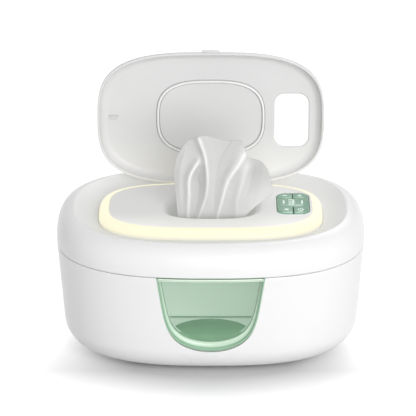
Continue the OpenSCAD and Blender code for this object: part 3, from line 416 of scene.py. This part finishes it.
# Grey of the painted shade beside the lid's seal
seal_painted_shade = finish("seal_painted_shade", (0.42, 0.42, 0.42), 0.6)
# Darker green of the painted shade on the window frame's outer edge
frame_edge_painted_shade = finish("frame_edge_painted_shade", (0.3, 0.5, 0.34), 0.15, bump=0.01, Coat_Weight=0.6, Coat_Roughness=0.05)
gasket_green = finish("gasket_green", (0.2, 0.38, 0.24), 0.5, grain=500)
seam_shade = finish("seam_shade", (0.1, 0.17, 0.11), 0.7)

finishes = {
    "shell_white": casing_white, "liner_white": liner_white, "lid_white": lid_white,
    "glow": ring_light, "green_clear": window_green, "green_frame": frame_green,
    "key_green": key_green, "silicone": soft_silicone, "foot_rubber": foot_grey, "felt": felt_green_painted_light,
    "aluminium": sheet_metal, "steel": pin_steel, "film_orange": film_amber,
    "board_green": board_green, "part_black": part_black, "led_white": emitter, "foam": foam_cream,
    "wipe": liner_white,
}
special = {"inner_tub": tub_white_painted_glow, "tub_divider": divider_painted_glow, "window_gasket": gasket_green,
                       "keypad_carrier": key_green}
for part in frame["record"]["subparts"]:
    node = frame["nodes"][part["node"]]
    node.data.materials.clear()
    node.data.materials.append(special.get(part["node"]) or finishes[part["material_slot"]])


# ---------------------------------------------------------------- base casing

def arc(n, start=0, end=1):
    return [start + (end - start) * k / n for k in range(n + 1)]


outer = [base_oval(FOOT, base_inset(FOOT) + 1.2), base_oval(FOOT, base_inset(FOOT))]
outer += [base_oval(z, base_inset(z)) for t in arc(16)[1:]
          for z in [FOOT + BOTTOM_R * (1 - cos(t * pi / 2))]]
outer += [base_oval(z, base_inset(z)) for z in (34, 42, 50, 58, 66, 74, 80, 84.2)]
outer += [base_oval(BASE_TOP - 0.45, base_inset(84.75) + 0.06), base_oval(BASE_TOP - 0.12, 0.28),
          base_oval(BASE_TOP, 0.7)]
inner = [base_oval(BASE_TOP, 6), base_oval(81.8, 6), base_oval(81.8, 9), base_oval(79.8, 9),
         base_oval(73.3, 3.3)]
inner += [base_oval(z, base_inset(z, WALL)) for t in arc(10, 1, 0.25)
          for z in [FOOT + BOTTOM_R - (BOTTOM_R - WALL) * cos(t * pi / 2)]]
inner += [oval(FLAT_W - 10, FLAT_D - 10, BODY, 5.7), oval(FLAT_W - 10, FLAT_D - 10, BODY, 4.1),
          oval(FLAT_W - 4, FLAT_D - 4, BODY, 4.1), oval(FLAT_W - 4, FLAT_D - 4, BODY, FOOT)]
base_casing = solid("base_casing", lofted(outer + inner, looped=True))
cut(base_casing,
    lofted([window_edge(0.2, top=-1.5, drop=-1.5, y=-92), window_edge(0.2, top=-1.5, drop=-1.5, y=-79.5)],
           caps=True),
    lofted([window_edge(3.6, top=-3, y=PANE_FACE), window_edge(3.6, top=-3, y=-69)], caps=True),
    block(-49.5, 49.5, 81.7, 92, 81.4, 88, bevel=0),
    block(-30.3, 30.3, 81.7, 84.2, 68.2, 86, bevel=0),
    *[block(x - 4.9, x + 4.9, -80.2, -77.5, 81.8, 88, bevel=0) for x in (-60, 60)],
    rod(4.6, 22, (58, 80, 20.5), "Y", bevel=0))
fit(base_casing, "base", "shell_white", casing_white, "base_shell")

# Window: a bevelled frame flush with the casing, and the clear pane behind it
frame_skin = [window_edge(-0.02), window_edge(-0.7, top=0.6, drop=0.1)]
bevel_front = window_edge(-0.7, top=0.6, drop=0.1)
bevel_back = window_edge(-2.7, top=2.9, drop=2.9, y=PANE_FACE)


def between(first, second, share, sag=0.0):
    def place(i):
        a, b = first(i), second(i)
        return a.lerp(b, share) + Vector((0, sag * sin(pi * share), 0))
    return place


frame_skin += [between(bevel_front, bevel_back, s, 1.1) for s in (0.2, 0.4, 0.6, 0.8, 0.93, 1)]
frame_skin += [window_edge(-2.7, top=2.9, drop=2.9, y=PANE_REAR),
               window_edge(2, top=0.3, y=PANE_REAR), window_edge(2, top=0.3, y=PANE_REAR - 1.2),
               window_edge(-0.1, y=PANE_REAR - 1.2), window_edge(-0.1, y=-82.5)]
window_rim = solid("window_rim", lofted(frame_skin, looped=True))
fit(window_rim, "base", "green_frame", frame_green, "window_frame")

# Flat lip along the top of the frame, lit by a painted glow against the shade under the cover, and the felt's front
# edge that turns up against the frame


def lip_edge(z0, z1, back):
    def place(i):
        s = 2 * i / SIDES
        x, z = ((2 * s - 1) * 40.2, z0) if s <= 1 else ((3 - 2 * s) * 40.2, z1)
        return Vector((x, front_y(z)(x) + back, z))
    return place


lip = lofted([lip_edge(83, 85.0, 0.5), lip_edge(83, 85.0, -0.1), lip_edge(83.3, 84.7, -0.3),
              lip_edge(83.7, 84.2, -0.3), lip_edge(83.7, 84.2, 1.4), lip_edge(83, 85.0, 1.4)], looped=True)
fit(solid("window_lip", lip), "base", "green_frame", lip_green_painted_glow)

# Painted shadow: a thin dark strip along the foot of the divider
shade_strip = block(-48, 48, -35.7, -34.8, 29.1, 30.0, bevel=0.25)
fit(solid("divider_foot_painted_shadow", shade_strip), "base", "silicone", seam_shade)

felt_low, felt_high = [[c / MM for c in corner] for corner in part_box("moisture_pad")]


def sill_height(x):
    """Height of the frame's inner lower edge at x."""
    edge = window_edge(-2.7, top=2.9, drop=2.9, y=PANE_FACE)
    return min((edge(i) for i in range(SIDES * 3 // 4)), key=lambda p: abs(p.x - x)).z


felt = bmesh.new()
bmesh.ops.create_grid(felt, x_segments=48, y_segments=12, size=0.5)
for vert in felt.verts:
    x, share = vert.co.x * 46, vert.co.y + 0.5
    rise, fall = sill_height(x) + 0.2, max(0, share - 0.55) / 0.45
    vert.co = (x, PANE_REAR + 0.4 + (felt_low[1] + 0.6 - PANE_REAR - 0.4) * share,
               rise + (felt_high[2] - rise) * fall)
FELT_X, FELT_Y = 32.5, 28


def felt_oval(inset, z):
    """The felt's outline: an ellipse that ends in a straight front."""
    round_edge = oval(FELT_X - inset, FELT_Y - inset, 2, z, felt_high[1] - 2 - FELT_Y)

    def place(i):
        point = round_edge(i)
        return Vector((point.x, max(point.y, felt_low[1] + inset), z))
    return place


crown = [felt_oval(1.4, 29.35), felt_oval(0.6, 29.35), felt_oval(0.1, 29.6), felt_oval(0, 30.0),
         felt_oval(0.2, 30.5), felt_oval(0.7, 30.9), felt_oval(1.8, 31.15), felt_oval(4, 31.32),
         felt_oval(8, 31.42)]
felt_pad = fit(solid("felt_pad", lofted(crown, caps=True), 60), "base", "felt", felt_green_painted_light, "moisture_pad")
felt_edge = solid("felt_front_edge", felt, 60)
felt_thick = felt_edge.modifiers.new("thickness", "SOLIDIFY")
felt_thick.thickness, felt_thick.offset = 0.0003, 0
settle(felt_edge)
fit(felt_edge, "base", "felt", felt_green_painted_light)



def proud(place, out):
    return lambda i: place(i) + Vector((0, -out, 0))


# Painted shade: a darker green band over the frame's outer bevel and the gap to the casing
trim = [proud(window_edge(0.12), -0.4), proud(window_edge(0.3), 0.06), proud(bevel_front, 0.15)]
trim += [proud(between(bevel_front, bevel_back, s, 1.1), 0.15) for s in (0.08, 0.16, 0.24)]
trim += [proud(between(bevel_front, bevel_back, 0.27, 1.1), 0), proud(between(bevel_front, bevel_back, 0.2, 1.1), -0.4)]
fit(solid("window_trim", lofted(trim, looped=True)), "base", "green_frame", frame_edge_painted_shade)

pane = solid("window_pane_clear", lofted(
    [window_edge(-2.9, top=3.05, drop=2.95, y=PANE_FACE + 0.35),
     window_edge(-3.3, top=3.4, drop=3.3, y=PANE_FACE + 0.15),
     window_edge(-3.3, top=3.4, drop=3.3, y=PANE_REAR - 0.1),
     window_edge(-2.9, top=3.05, drop=2.95, y=PANE_REAR - 0.3)], caps=True))
fit(pane, "base", "green_clear", window_green, "window_pane")

# ---------------------------------------------------------------- cover casing

skin = [base_oval(COVER_BOTTOM, 0.7), base_oval(COVER_BOTTOM + 0.12, 0.28),
        base_oval(COVER_BOTTOM + 0.45, 0.06), base_oval(COVER_BOTTOM + 1, 0),
        base_oval(88.5, 0)]
skin += [crest_oval(t) for t in arc(20)]
skin += [dish_oval(t) for t in arc(14)[1:]]
skin += [dish_oval(t, WALL) for t in arc(14, 1, 0)[:-1]]
skin += [crest_oval(t, WALL) for t in arc(12, 1, 0)]
skin += [base_oval(COVER_BOTTOM, WALL)]
cover_casing = solid("cover_casing", lofted(skin, looped=True))
cut(cover_casing, block(-49.5, 49.5, 81.7, 92, 84, 89.6, bevel=0))
fit(cover_casing, "cover", "shell_white", casing_white, "cover_shell")

catches = None
for x in (-60, 60):
    hook = block(x - 4.5, x + 4.5, -79.8, -78, 82.2, 90.8, bevel=0.5)
    catches = merge(catches, hook) if catches else hook
catches = solid("catch_hooks", catches)
fit(catches, "cover", "shell_white", casing_white)

ears = None
for side in (-1, 1):
    x = side * 22.4
    ear = merge(block(x - 2, x + 2, 52.6, 56.6, 101, 104.2, bevel=0.3), rod(2, 4, (x, 54.6, 104.2)))
    ears = merge(ears, ear) if ears else ear
fit(solid("lid_ears", ears), "cover", "shell_white", casing_white)

# Light ring
glow = [deck_oval(RING_W + 2.6, 97.7), deck_oval(RING_W + 3, 98.1), deck_oval(RING_W + 3, 99.1),
        deck_oval(RING_W, 99.1)]
glow += [deck_oval(RING_W * cos(t * pi / 2), DECK_Z - RING_DROP * (1 - sin(t * pi / 2)))
         for t in arc(20)]
glow += [deck_oval(0, 107.1)]
glow += [deck_oval((RING_W - 2.2) * cos(t * pi / 2), 107.1 - 7.2 * (1 - sin(t * pi / 2)))
         for t in arc(8, 0.95, 0)]
glow += [deck_oval(RING_W - 2.2, 97.7)]
fit(solid("light_ring", lofted(glow, looped=True)), "cover", "glow", ring_light, "glow_ring")


# Deck with its flared mouth, and the recess for the keypad
def mouth_oval(grow, z):
    return oval(MOUTH_W + grow, MOUTH_D + grow, MOUTH, z, MOUTH_Y)


def flare_oval(t):
    s, c = sin(t * pi / 2), cos(t * pi / 2)
    return oval(MOUTH_W - (MOUTH_W - THROAT_W) * s, MOUTH_D - (MOUTH_D - THROAT_D) * s, MOUTH,
                DECK_Z - FLARE * (1 - c), MOUTH_Y)


deck = [deck_oval(1.4, 105.4), deck_oval(1.4, 106.8), deck_oval(-0.15, 106.8),
        deck_oval(-0.15, DECK_Z - 0.25), deck_oval(-0.22, DECK_Z - 0.07), deck_oval(-0.4, DECK_Z),
        deck_oval(-1.2, DECK_Z), mouth_oval(4, DECK_Z), mouth_oval(1, DECK_Z)]
deck += [flare_oval(t) for t in arc(18)]
deck += [oval(THROAT_W, THROAT_D, MOUTH, 94, MOUTH_Y), oval(THROAT_W, THROAT_D, MOUTH, 87.4, MOUTH_Y),
         oval(THROAT_W + 0.9, THROAT_D + 0.9, MOUTH, 87.1, MOUTH_Y),
         oval(THROAT_W + 1.8, THROAT_D + 1.8, MOUTH, 87.4, MOUTH_Y),
         oval(THROAT_W + 1.8, THROAT_D + 1.8, MOUTH, 99.3, MOUTH_Y), mouth_oval(1, 105.4)]
deck = solid("deck_and_mouth", lofted(deck, looped=True))
cut(deck, lofted([pad_edge(12.85, 21.35, 7.85, 104), pad_edge(12.85, 21.35, 7.85, 108.9),
                  pad_edge(13.0, 21.5, 8.0, 109.15), pad_edge(13.3, 21.8, 8.3, 110)], caps=True))
fit(deck, "cover", "shell_white", deck_white_painted_glow, "deck_panel")

# ---------------------------------------------------------------- keypad


def pad_slab(x0, x1, y0, y1, z0, z1, rounded=None, bevel=0.75):
    """Part of the keypad's face: a plate whose outer corner is rounded."""
    bm = block(x0, x1, y0, y1, z0, z1, bevel=0)
    corners = [e for e in bm.edges if rounded and abs(e.verts[0].co.z - e.verts[1].co.z) > 0.5
               and abs(e.verts[0].co.x - rounded[0]) < 0.1 and abs(e.verts[0].co.y - rounded[1]) < 0.1]
    if corners:
        bmesh.ops.bevel(bm, geom=corners, offset=PAD_R, segments=14, profile=0.5, affect="EDGES",
                        material=-1)
    rims = [e for e in bm.edges if min(v.co.z for v in e.verts) > z1 - 0.01]
    bmesh.ops.bevel(bm, geom=rims, offset=bevel, segments=4, profile=0.5, affect="EDGES", material=-1)
    return bm


KEY_TOP, KEY_LOW = 109.8, 107.8
for name, right, back in (("minus", 0, 1), ("plus", 1, 1), ("light", 0, 0), ("power", 1, 0)):
    x0, x1 = (PAD_X + 0.2, PAD_X + PAD_W / 2) if right else (PAD_X - PAD_W / 2, PAD_X - 0.2)
    y0, y1 = (BAND_BACK + 0.2, PAD_Y + PAD_D / 2) if back else (PAD_Y - PAD_D / 2, BAND_FRONT - 0.2)
    shape = pad_slab(x0, x1, y0, y1, KEY_LOW, KEY_TOP, (x1 if right else x0, y1 if back else y0))
    stem_x, stem_y = PAD_X + (6.25 if right else -6.25), (18.1 if back else -10.6)
    merge(shape, rod(1.5, 5.6, (stem_x, stem_y, 105.15), "Z"))
    fit(solid("cap_" + name, shape, 40), "key_" + name, "key_green", key_green, "key_" + name)

band = pad_slab(PAD_X - PAD_W / 2, PAD_X + PAD_W / 2, BAND_FRONT, BAND_BACK, 107.7, 109.7, bevel=0.3)
fit(solid("display_band", band, 40), "cover", "key_green", key_green, "display_window")


def bar(x, y, w, d, z, turn=0.0, height=0.12):
    """Flat rounded mark on the keypad."""
    bm = bmesh.new()
    bmesh.ops.create_cube(bm, size=1)
    bmesh.ops.scale(bm, vec=(w, d, height), verts=bm.verts)
    upright = [e for e in bm.edges if abs(e.verts[0].co.z - e.verts[1].co.z) > height / 2]
    bmesh.ops.bevel(bm, geom=upright, offset=min(w, d) * 0.45, segments=4, profile=0.5,
                    affect="EDGES", material=-1)
    bmesh.ops.rotate(bm, cent=(0, 0, 0), matrix=Matrix.Rotation(turn, 3, "Z"), verts=bm.verts)
    bmesh.ops.translate(bm, vec=(x, y, z), verts=bm.verts)
    return bm


def loop_mark(x, y, radius, width, z, sweep=tau, start=0.0, height=0.12):
    """Flat ring, or part of a ring, on the keypad."""
    bm = bmesh.new()
    bmesh.ops.create_grid(bm, x_segments=1, y_segments=1, size=0.5)
    bmesh.ops.scale(bm, vec=(width, 1, height), verts=bm.verts)
    bmesh.ops.rotate(bm, cent=(0, 0, 0), matrix=Matrix.Rotation(pi / 2, 3, "X"), verts=bm.verts)
    bmesh.ops.scale(bm, vec=(1, 0, height), verts=bm.verts)
    bmesh.ops.translate(bm, vec=(radius, 0, 0), verts=bm.verts)
    bmesh.ops.rotate(bm, cent=(0, 0, 0), matrix=Matrix.Rotation(start, 3, "Z"), verts=bm.verts)
    full = sweep > tau - 0.01
    bmesh.ops.spin(bm, geom=bm.verts[:] + bm.edges[:] + bm.faces[:], cent=(0, 0, 0), axis=(0, 0, 1),
                   angle=sweep, steps=36, use_merge=full)
    bmesh.ops.remove_doubles(bm, verts=bm.verts, dist=1e-4)
    bmesh.ops.recalc_face_normals(bm, faces=bm.faces)
    bmesh.ops.translate(bm, vec=(x, y, z), verts=bm.verts)
    return bm


def disc_mark(x, y, radius, z, height=0.12):
    return rod(radius, height, (x, y, z), "Z", bevel=0, segments=36)


def sign(name, body, *shapes):
    fit(solid(name, merge(*shapes)), body, "led_white", sign_white)


ON_KEY = KEY_TOP + 0.03
ON_BAND = 109.7 + 0.03
sign("sign_minus", "key_minus", bar(58.2, 18.3, 3.6, 1.3, ON_KEY), bar(58.2, 18.3, 1.0, 0.6, ON_KEY))
sign("sign_plus", "key_plus", bar(69.8, 18.1, 3.6, 1.3, ON_KEY), bar(69.8, 18.1, 1.3, 3.6, ON_KEY))
rays = [bar(58.9 + 1.9 * cos(k * tau / 8), -9.7 + 1.9 * sin(k * tau / 8), 0.8, 0.5, ON_KEY, k * tau / 8)
        for k in range(8)]
sign("sign_light", "key_light", disc_mark(58.9, -9.7, 1.2, ON_KEY), *rays)
sign("sign_power", "key_power", loop_mark(70.0, -9.9, 1.9, 0.8, ON_KEY, radians(300), radians(120)),
     bar(70.0, -8.4, 0.8, 2.0, ON_KEY))

digit_x, digit_y, digit_w, digit_h = 62.8, 5.2, 4.6, 8.4
strokes = [bar(digit_x, digit_y + k * digit_h / 2, digit_w, 1.5, ON_BAND) for k in (-1, 0, 1)]
strokes += [bar(digit_x + digit_w / 2 - 0.4, digit_y + k * digit_h / 4, 1.4, digit_h / 2, ON_BAND)
            for k in (-1, 1)]
sign("sign_digit", "cover", *strokes)
sign("sign_bars", "cover", bar(57.0, 5.2, 1.3, 6.6, ON_BAND), bar(71.4, 5.2, 1.3, 6.6, ON_BAND))

# Thin white rim round the keypad's recess
rim = [pad_edge(13.2, 21.7, 8.2, 109.0), pad_edge(13.25, 21.75, 8.25, 109.45),
       pad_edge(13.5, 22.0, 8.5, 109.55), pad_edge(14.2, 22.7, 9.2, 109.5), pad_edge(14.5, 23.0, 9.5, 109.2)]
fit(solid("keypad_rim", lofted(rim, looped=True)), "cover", "shell_white", rim_white)

# ---------------------------------------------------------------- flip lid


def lid_oval(inset, z):
    return oval(LID_W - inset, LID_D - inset, DECK, z, DECK_Y)


inside = [lid_oval(45, LID_IN), lid_oval(20, LID_IN)]
inside += [lid_oval(1.8 + 6 * (1 - cos(t * pi / 2)), LID_RIM + 2.4 + (LID_IN - LID_RIM - 2.4) * sin(t * pi / 2))
           for t in arc(14, 1, 0)]
inside += [lid_oval(1.8, LID_RIM + 0.5), lid_oval(1.65, LID_RIM + 0.15), lid_oval(1.3, LID_RIM)]
outside = [lid_oval(0.5, LID_RIM), lid_oval(0.15, LID_RIM + 0.15), lid_oval(0, LID_RIM + 0.5)]
outside += [lid_oval(8 * (1 - cos(t * pi / 2)), LID_RIM + 3 + (LID_TOP - LID_RIM - 3) * sin(t * pi / 2))
            for t in arc(16)]
outside += [lid_oval(20, LID_TOP + 0.2), lid_oval(45, LID_TOP + 0.3)]
lid = solid("flip_lid", lofted(inside + outside, caps=True))
hole = [pad_edge(14.6, 23.1, 9.1, LID_IN - 1.2), pad_edge(14.4, 22.9, 8.9, LID_IN - 0.1),
        pad_edge(13.7, 22.2, 8.3, LID_IN + 0.5), pad_edge(13.4, 21.9, 8.2, LID_IN + 0.9),
        pad_edge(13.4, 21.9, 8.2, LID_IN + 1.5), pad_edge(13.7, 22.2, 8.4, LID_TOP - 0.2),
        pad_edge(14.3, 22.8, 9.0, LID_TOP + 0.4), pad_edge(14.3, 22.8, 9.0, LID_TOP + 2)]
slots = [block(x - 2.4, x + 2.4, 52, 62.6, 102, 106.8, bevel=0) for x in (-22.4, 22.4)]
cut(lid, lofted(hole, caps=True), *slots)
turn = Matrix.Translation(LID_AXIS * MM) @ Matrix.Rotation(LID_OPEN, 4, "X") @ Matrix.Translation(-LID_AXIS * MM)
lid.data.transform(turn)
fit(lid, "lid", "lid_white", lid_white, "lid_shell")

barrel = opened(rod(2, 40, LID_AXIS))
fit(solid("lid_barrel", barrel), "lid", "lid_white", lid_white)
tab = opened(block(-7, 7, -56.9, -53.7, 105.1, 106.7, bevel=0.6))
fit(solid("thumb_tab", tab), "lid", "lid_white", lid_white)
# Painted shade: the lid's nub is a darker grey than the lid, so that it shows
stud = block(-80.6, -73.4, -1.2, 2.4, 109.7, 111.8, bevel=0)
corners = [e for e in stud.edges if abs(e.verts[0].co.z - e.verts[1].co.z) > 1 and e.verts[0].co.y > 0]
bmesh.ops.bevel(stud, geom=corners, offset=3.4, segments=10, profile=0.5, affect="EDGES", material=-1)
fit(solid("lid_nub", opened(stud)), "lid", "lid_white", nub_painted_shade)


def seal_oval(grow, z):
    return oval(42.7 + grow, 30.7 + grow, MOUTH, z, 0.6)


seal = [seal_oval(-0.8 + 0.8 * cos(q), 110.3 + 0.75 * sin(q)) for q in [tau * k / 16 for k in range(16)]]
fit(solid("mouth_seal", opened(lofted(seal, looped=True))), "lid", "silicone", soft_silicone, "lid_seal")

# Painted shade: grey strips that bound the seal on the lid's inside
for name, grow in (("seal_shade_outer", 0.4), ("seal_shade_inner", -2.05)):
    shade_strip = [seal_oval(grow + 0.28 * cos(q), LID_IN + 0.28 * sin(q)) for q in [tau * k / 10 for k in range(10)]]
    fit(solid(name, opened(lofted(shade_strip, looped=True))), "lid", "silicone", seal_painted_shade)

# ---------------------------------------------------------------- wipe

COLS, ROWS = 170, 130
# The wipe's upper edge from left to right, as x and z at even places across the sheet
WIPE_EDGE = [(-28.5, 142), (-26, 156), (-20, 167), (-13, 173), (-5, 174.5), (2, 172.5), (9, 170),
             (17, 170), (24, 170), (26.5, 162), (28.5, 156), (34, 154.5), (39.5, 152.5), (44, 146),
             (46.5, 136), (48.5, 125)]
# Its folds: the line of each as z and x, then its width and how far it stands out
FOLDS = [([(174, -10), (154, -3.8), (128, -3), (104, -10)], 3.4, 5),
         ([(153, -9.5), (140, -16.2), (124, -17), (104, -17.7)], 3, 4.5),
         ([(161, 27), (150, 20.8), (137, 13.1), (120, 8.5), (104, 4.7)], 4, 5),
         ([(151, 27.8), (135, 23.9), (120, 20)], 4.5, 3),
         ([(155, 42), (140, 40), (118, 34), (104, 21)], 7, 3)]
# Painted highlights along the folds' crests: how bright and how wide each is at its top and at its foot, then small
# creases of the cloth
CREST_HIGHLIGHTS = [(1.0, 0.3, 1.3, 0.8), (1.0, 0.35, 1.5, 1.2), (1.0, 0.4, 4.6, 0.9), (0.5, 0.1, 3.4, 1.4)]
CREASES = [([(170, 16), (150, 6), (130, 3)], 1.6, -0.9), ([(160, -20), (140, -24), (112, -23)], 2.2, 0.9),
           ([(140, -10.5), (124, -9.5), (106, -14)], 2.2, -1.6), ([(146, 33), (128, 29), (112, 22)], 2, -1)]
WIPE_TAIL, WIPE_FOOT_Z, WIPE_FOOT_X, WIPE_SHARE, WIPE_SEAT = 74, 100, (-25, 23), 0.22, 4.4


def line_at(points, z):
    """Where a fold's line is at height z, on a smooth curve through its points."""
    if z >= points[0][0]:
        return points[0][1]
    for k, ((z0, x0), (z1, x1)) in enumerate(zip(points, points[1:])):
        if z >= z1:
            f, fall = (z0 - z) / (z0 - z1), z0 - z1
            before, after = points[max(0, k - 1)], points[min(len(points) - 1, k + 2)]
            lean0 = fall * (x1 - before[1]) / max(1, before[0] - z1)
            lean1 = fall * (after[1] - x0) / max(1, z0 - after[0])
            return ((1 + 2 * f) * (1 - f) ** 2 * x0 + f * (1 - f) ** 2 * lean0
                    + f * f * (3 - 2 * f) * x1 - f * f * (1 - f) * lean1)
    return points[-1][1]


def fold_push(fold, x, z):
    line, width, out = fold
    end = min(1, max(0, (line[0][0] + 4 - z) / 8))
    return out * end * exp(-(abs(x - line_at(line, z)) / width) ** 1.4)


def edge_point(u):
    """The upper edge at u across the sheet, eased between its stations."""
    at = min(0.9999, max(0, u)) * (len(WIPE_EDGE) - 1)
    k, f = int(at), at - int(at)
    before, here, there, after = [Vector(WIPE_EDGE[min(len(WIPE_EDGE) - 1, max(0, k + j))])
                                  for j in (-1, 0, 1, 2)]
    eased = here + (there - before) * f / 2 + (before * 2 - here * 5 + there * 4 - after) * f * f / 2
    eased += (here * 3 - before - there * 3 + after) * f ** 3 / 2
    return here.lerp(there, f).lerp(eased, 0.6)


def wipe_point(u, v):
    foot_x = WIPE_FOOT_X[0] * (1 - u) + WIPE_FOOT_X[1] * u
    s = max(0, v - WIPE_SHARE) / (1 - WIPE_SHARE)
    top = edge_point(u)
    x = foot_x + (top.x - foot_x) * s ** (1 + 0.55 * u * u)
    z = WIPE_TAIL + (WIPE_FOOT_Z - WIPE_TAIL) * v / WIPE_SHARE if v < WIPE_SHARE else \
        WIPE_FOOT_Z + (top.y - WIPE_FOOT_Z) * 0.973 * s
    loose = min(1, 1.6 * s)
    push = (0.3 + 0.7 * loose) * sum(fold_push(f, x, z) for f in FOLDS)
    push += loose * sum(fold_push(f, x, z) for f in CREASES)
    return Vector((x, 4 * s + MOUTH_Y - THROAT_D + WIPE_SEAT - push, z))


def cloth_painted_light(x, z):
    """Painted light and shade on the cloth, from 0 to 1: lighter on the left, darker in the valley between two folds,
    lighter low on the right, and painted highlights along the crests of the folds.
    """
    near, shade = 0, 0.27 - 0.12 * min(1, max(0, (x - 4) / 30))
    shade += 0.25 * min(1, max(0, (142 - z) / 18)) * min(1, max(0, (x - 20) / 12))
    if z < 150:
        left, right = (line_at(FOLDS[k][0], z) for k in (1, 0))
        shade -= 0.16 * max(0, 1 - abs(2 * x - left - right) / (right - left)) ** 0.5
    for (line, _, _), (bright_top, bright_low, wide_top, wide_low) in zip(FOLDS, CREST_HIGHLIGHTS):
        end = min(1, max(0, (line[0][0] + 4 - z) / 8))
        s = min(1, max(0, (z - 110) / (line[0][0] - 110)))
        bright, wide = bright_low + (bright_top - bright_low) * s, wide_low + (wide_top - wide_low) * s * s
        near = max(near, end * bright * exp(-((x - line_at(line, z)) / wide) ** 2))
    return shade + (1 - shade) * near


cloth = bmesh.new()
bmesh.ops.create_grid(cloth, x_segments=COLS, y_segments=ROWS, size=0.5)
# Each point of the cloth keeps its painted light in the crest attribute
crest = cloth.verts.layers.float.new("crest")
for vert in cloth.verts:
    vert.co = wipe_point(vert.co.x + 0.5, vert.co.y + 0.5)
    vert[crest] = cloth_painted_light(vert.co.x, vert.co.z)
bmesh.ops.recalc_face_normals(cloth, faces=cloth.faces)
wipe = solid("wipe", cloth, 180)
thick = wipe.modifiers.new("thickness", "SOLIDIFY")
thick.thickness, thick.offset = 0.0006, 0
settle(wipe)

wipe_white = finish("wipe_white", (0.48, 0.48, 0.475), 0.8, grain=520, bump=0.5, depth=0.0004,
                    tone=0.95, tone_scale=90, Sheen_Weight=0.2, Sheen_Roughness=0.5,
                    Subsurface_Weight=0.1, Subsurface_Radius=(0.004, 0.004, 0.004))
# The painted light turns the cloth's darker base towards white
painted_cloth_light = wipe_white.node_tree.nodes.new("ShaderNodeAttribute")
painted_cloth_light.attribute_name = "crest"
blend_colour(wipe_white, painted_cloth_light.outputs["Fac"], (0.9, 0.9, 0.89))
fit(wipe, "cover", "wipe", wipe_white, "wipe_sheet")
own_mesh(wipe)

# ---------------------------------------------------------------- stage

floor_mesh = bmesh.new()
bmesh.ops.create_grid(floor_mesh, x_segments=1, y_segments=1, size=6000)
floor = solid("floor", floor_mesh)
floor_mat = bpy.data.materials.new("floor_pale")
floor_mat.use_nodes = True
floor_tree = floor_mat.node_tree
floor_shader = floor_tree.nodes["Principled BSDF"]
floor_shader.inputs["Base Color"].default_value = (0.64, 0.64, 0.64, 1)
floor_shader.inputs["Roughness"].default_value = 0.9
floor_shader.inputs["Specular IOR Level"].default_value = 0.1


def floor_math(operation, first, second=0.0):
    """One step of arithmetic in the floor's material."""
    step = floor_tree.nodes.new("ShaderNodeMath")
    step.operation = operation
    for socket, value in zip(step.inputs, (first, second)):
        if isinstance(value, (int, float)):
            socket.default_value = value
        else:
            link(floor_tree, value, socket)
    return step.outputs[0]


def background_rays(tree):
    """One for rays that show the background, to the camera itself, in gloss or through a clear piece."""
    path = tree.nodes.new("ShaderNodeLightPath")
    shown = path.outputs["Is Camera Ray"]
    for ray in ("Is Glossy Ray", "Is Transmission Ray"):
        either = tree.nodes.new("ShaderNodeMath")
        either.operation = "MAXIMUM"
        link(tree, shown, either.inputs[0])
        link(tree, path.outputs[ray], either.inputs[1])
        shown = either.outputs[0]
    return shown


# Painted light: to the camera the floor glows white away from the object's front, which hides the object's shadow
# there; in front the contact shadow stays
place = floor_tree.nodes.new("ShaderNodeSeparateXYZ")
link(floor_tree, floor_tree.nodes.new("ShaderNodeTexCoord").outputs["Object"], place.inputs[0])
across = floor_math("DIVIDE", place.outputs["X"], 0.118)
deep = floor_math("DIVIDE", place.outputs["Y"], 0.086)
reach = floor_math("SQRT", floor_math("ADD", floor_math("MULTIPLY", across, across),
                                      floor_math("MULTIPLY", deep, deep)))
outward = floor_math("MULTIPLY", floor_math("SUBTRACT", reach, 0.95), 1.7)
backward = floor_math("MAXIMUM", floor_math("MULTIPLY", floor_math("ADD", place.outputs["Y"], 0.07), 16), 0)
far = floor_math("MINIMUM", floor_math("MAXIMUM", floor_math("ADD", outward, backward), 0), 1)
link(floor_tree, floor_math("MULTIPLY", floor_math("MULTIPLY", far, 0.68), background_rays(floor_tree)),
     floor_shader.inputs["Emission Strength"])
floor_shader.inputs["Emission Color"].default_value = (1, 1, 1, 1)
floor.data.materials.append(floor_mat)

scene = bpy.context.scene
scene.view_settings.view_transform = "Standard"
world = bpy.data.worlds.new("studio")
scene.world = world
world.use_nodes = True
tree = world.node_tree
sky = tree.nodes["Background"]
sky.inputs["Color"].default_value = (1, 1, 1, 1)
level = tree.nodes.new("ShaderNodeMapRange")
level.inputs["To Min"].default_value = 0.6
level.inputs["To Max"].default_value = 1.0
link(tree, background_rays(tree), level.inputs["Value"])
link(tree, level.outputs["Result"], sky.inputs["Strength"])


def lamp(name, place, aim, size, power, colour=(1, 1, 1)):
    light = bpy.data.lights.new(name, "AREA")
    light.shape, light.size, light.energy, light.color = "DISK", size, power, colour
    holder = bpy.data.objects.new(name, light)
    scene.collection.objects.link(holder)
    holder.location = place
    holder.rotation_euler = (Vector(aim) - Vector(place)).to_track_quat("-Z", "Y").to_euler()


lamp("key_softbox", (0.75, -1.9, 0.8), (0, 0, 0.08), 1.8, 30.5)
lamp("rear_fill", (0.5, 1.8, 1.7), (0, 0, 0.08), 1.3, 11)

camera = bpy.data.cameras.new("photo_view")
camera.sensor_width, camera.lens = 36, 2794 / 416 * 36
camera.clip_end = 50
viewer = bpy.data.objects.new("photo_view", camera)
scene.collection.objects.link(viewer)
viewer.location = (0, -2.0098, 0.9548)
viewer.rotation_euler = (radians(90 - 24 + 1.124), 0, radians(0.0607))
scene.camera = viewer

bpy.context.view_layer.update()
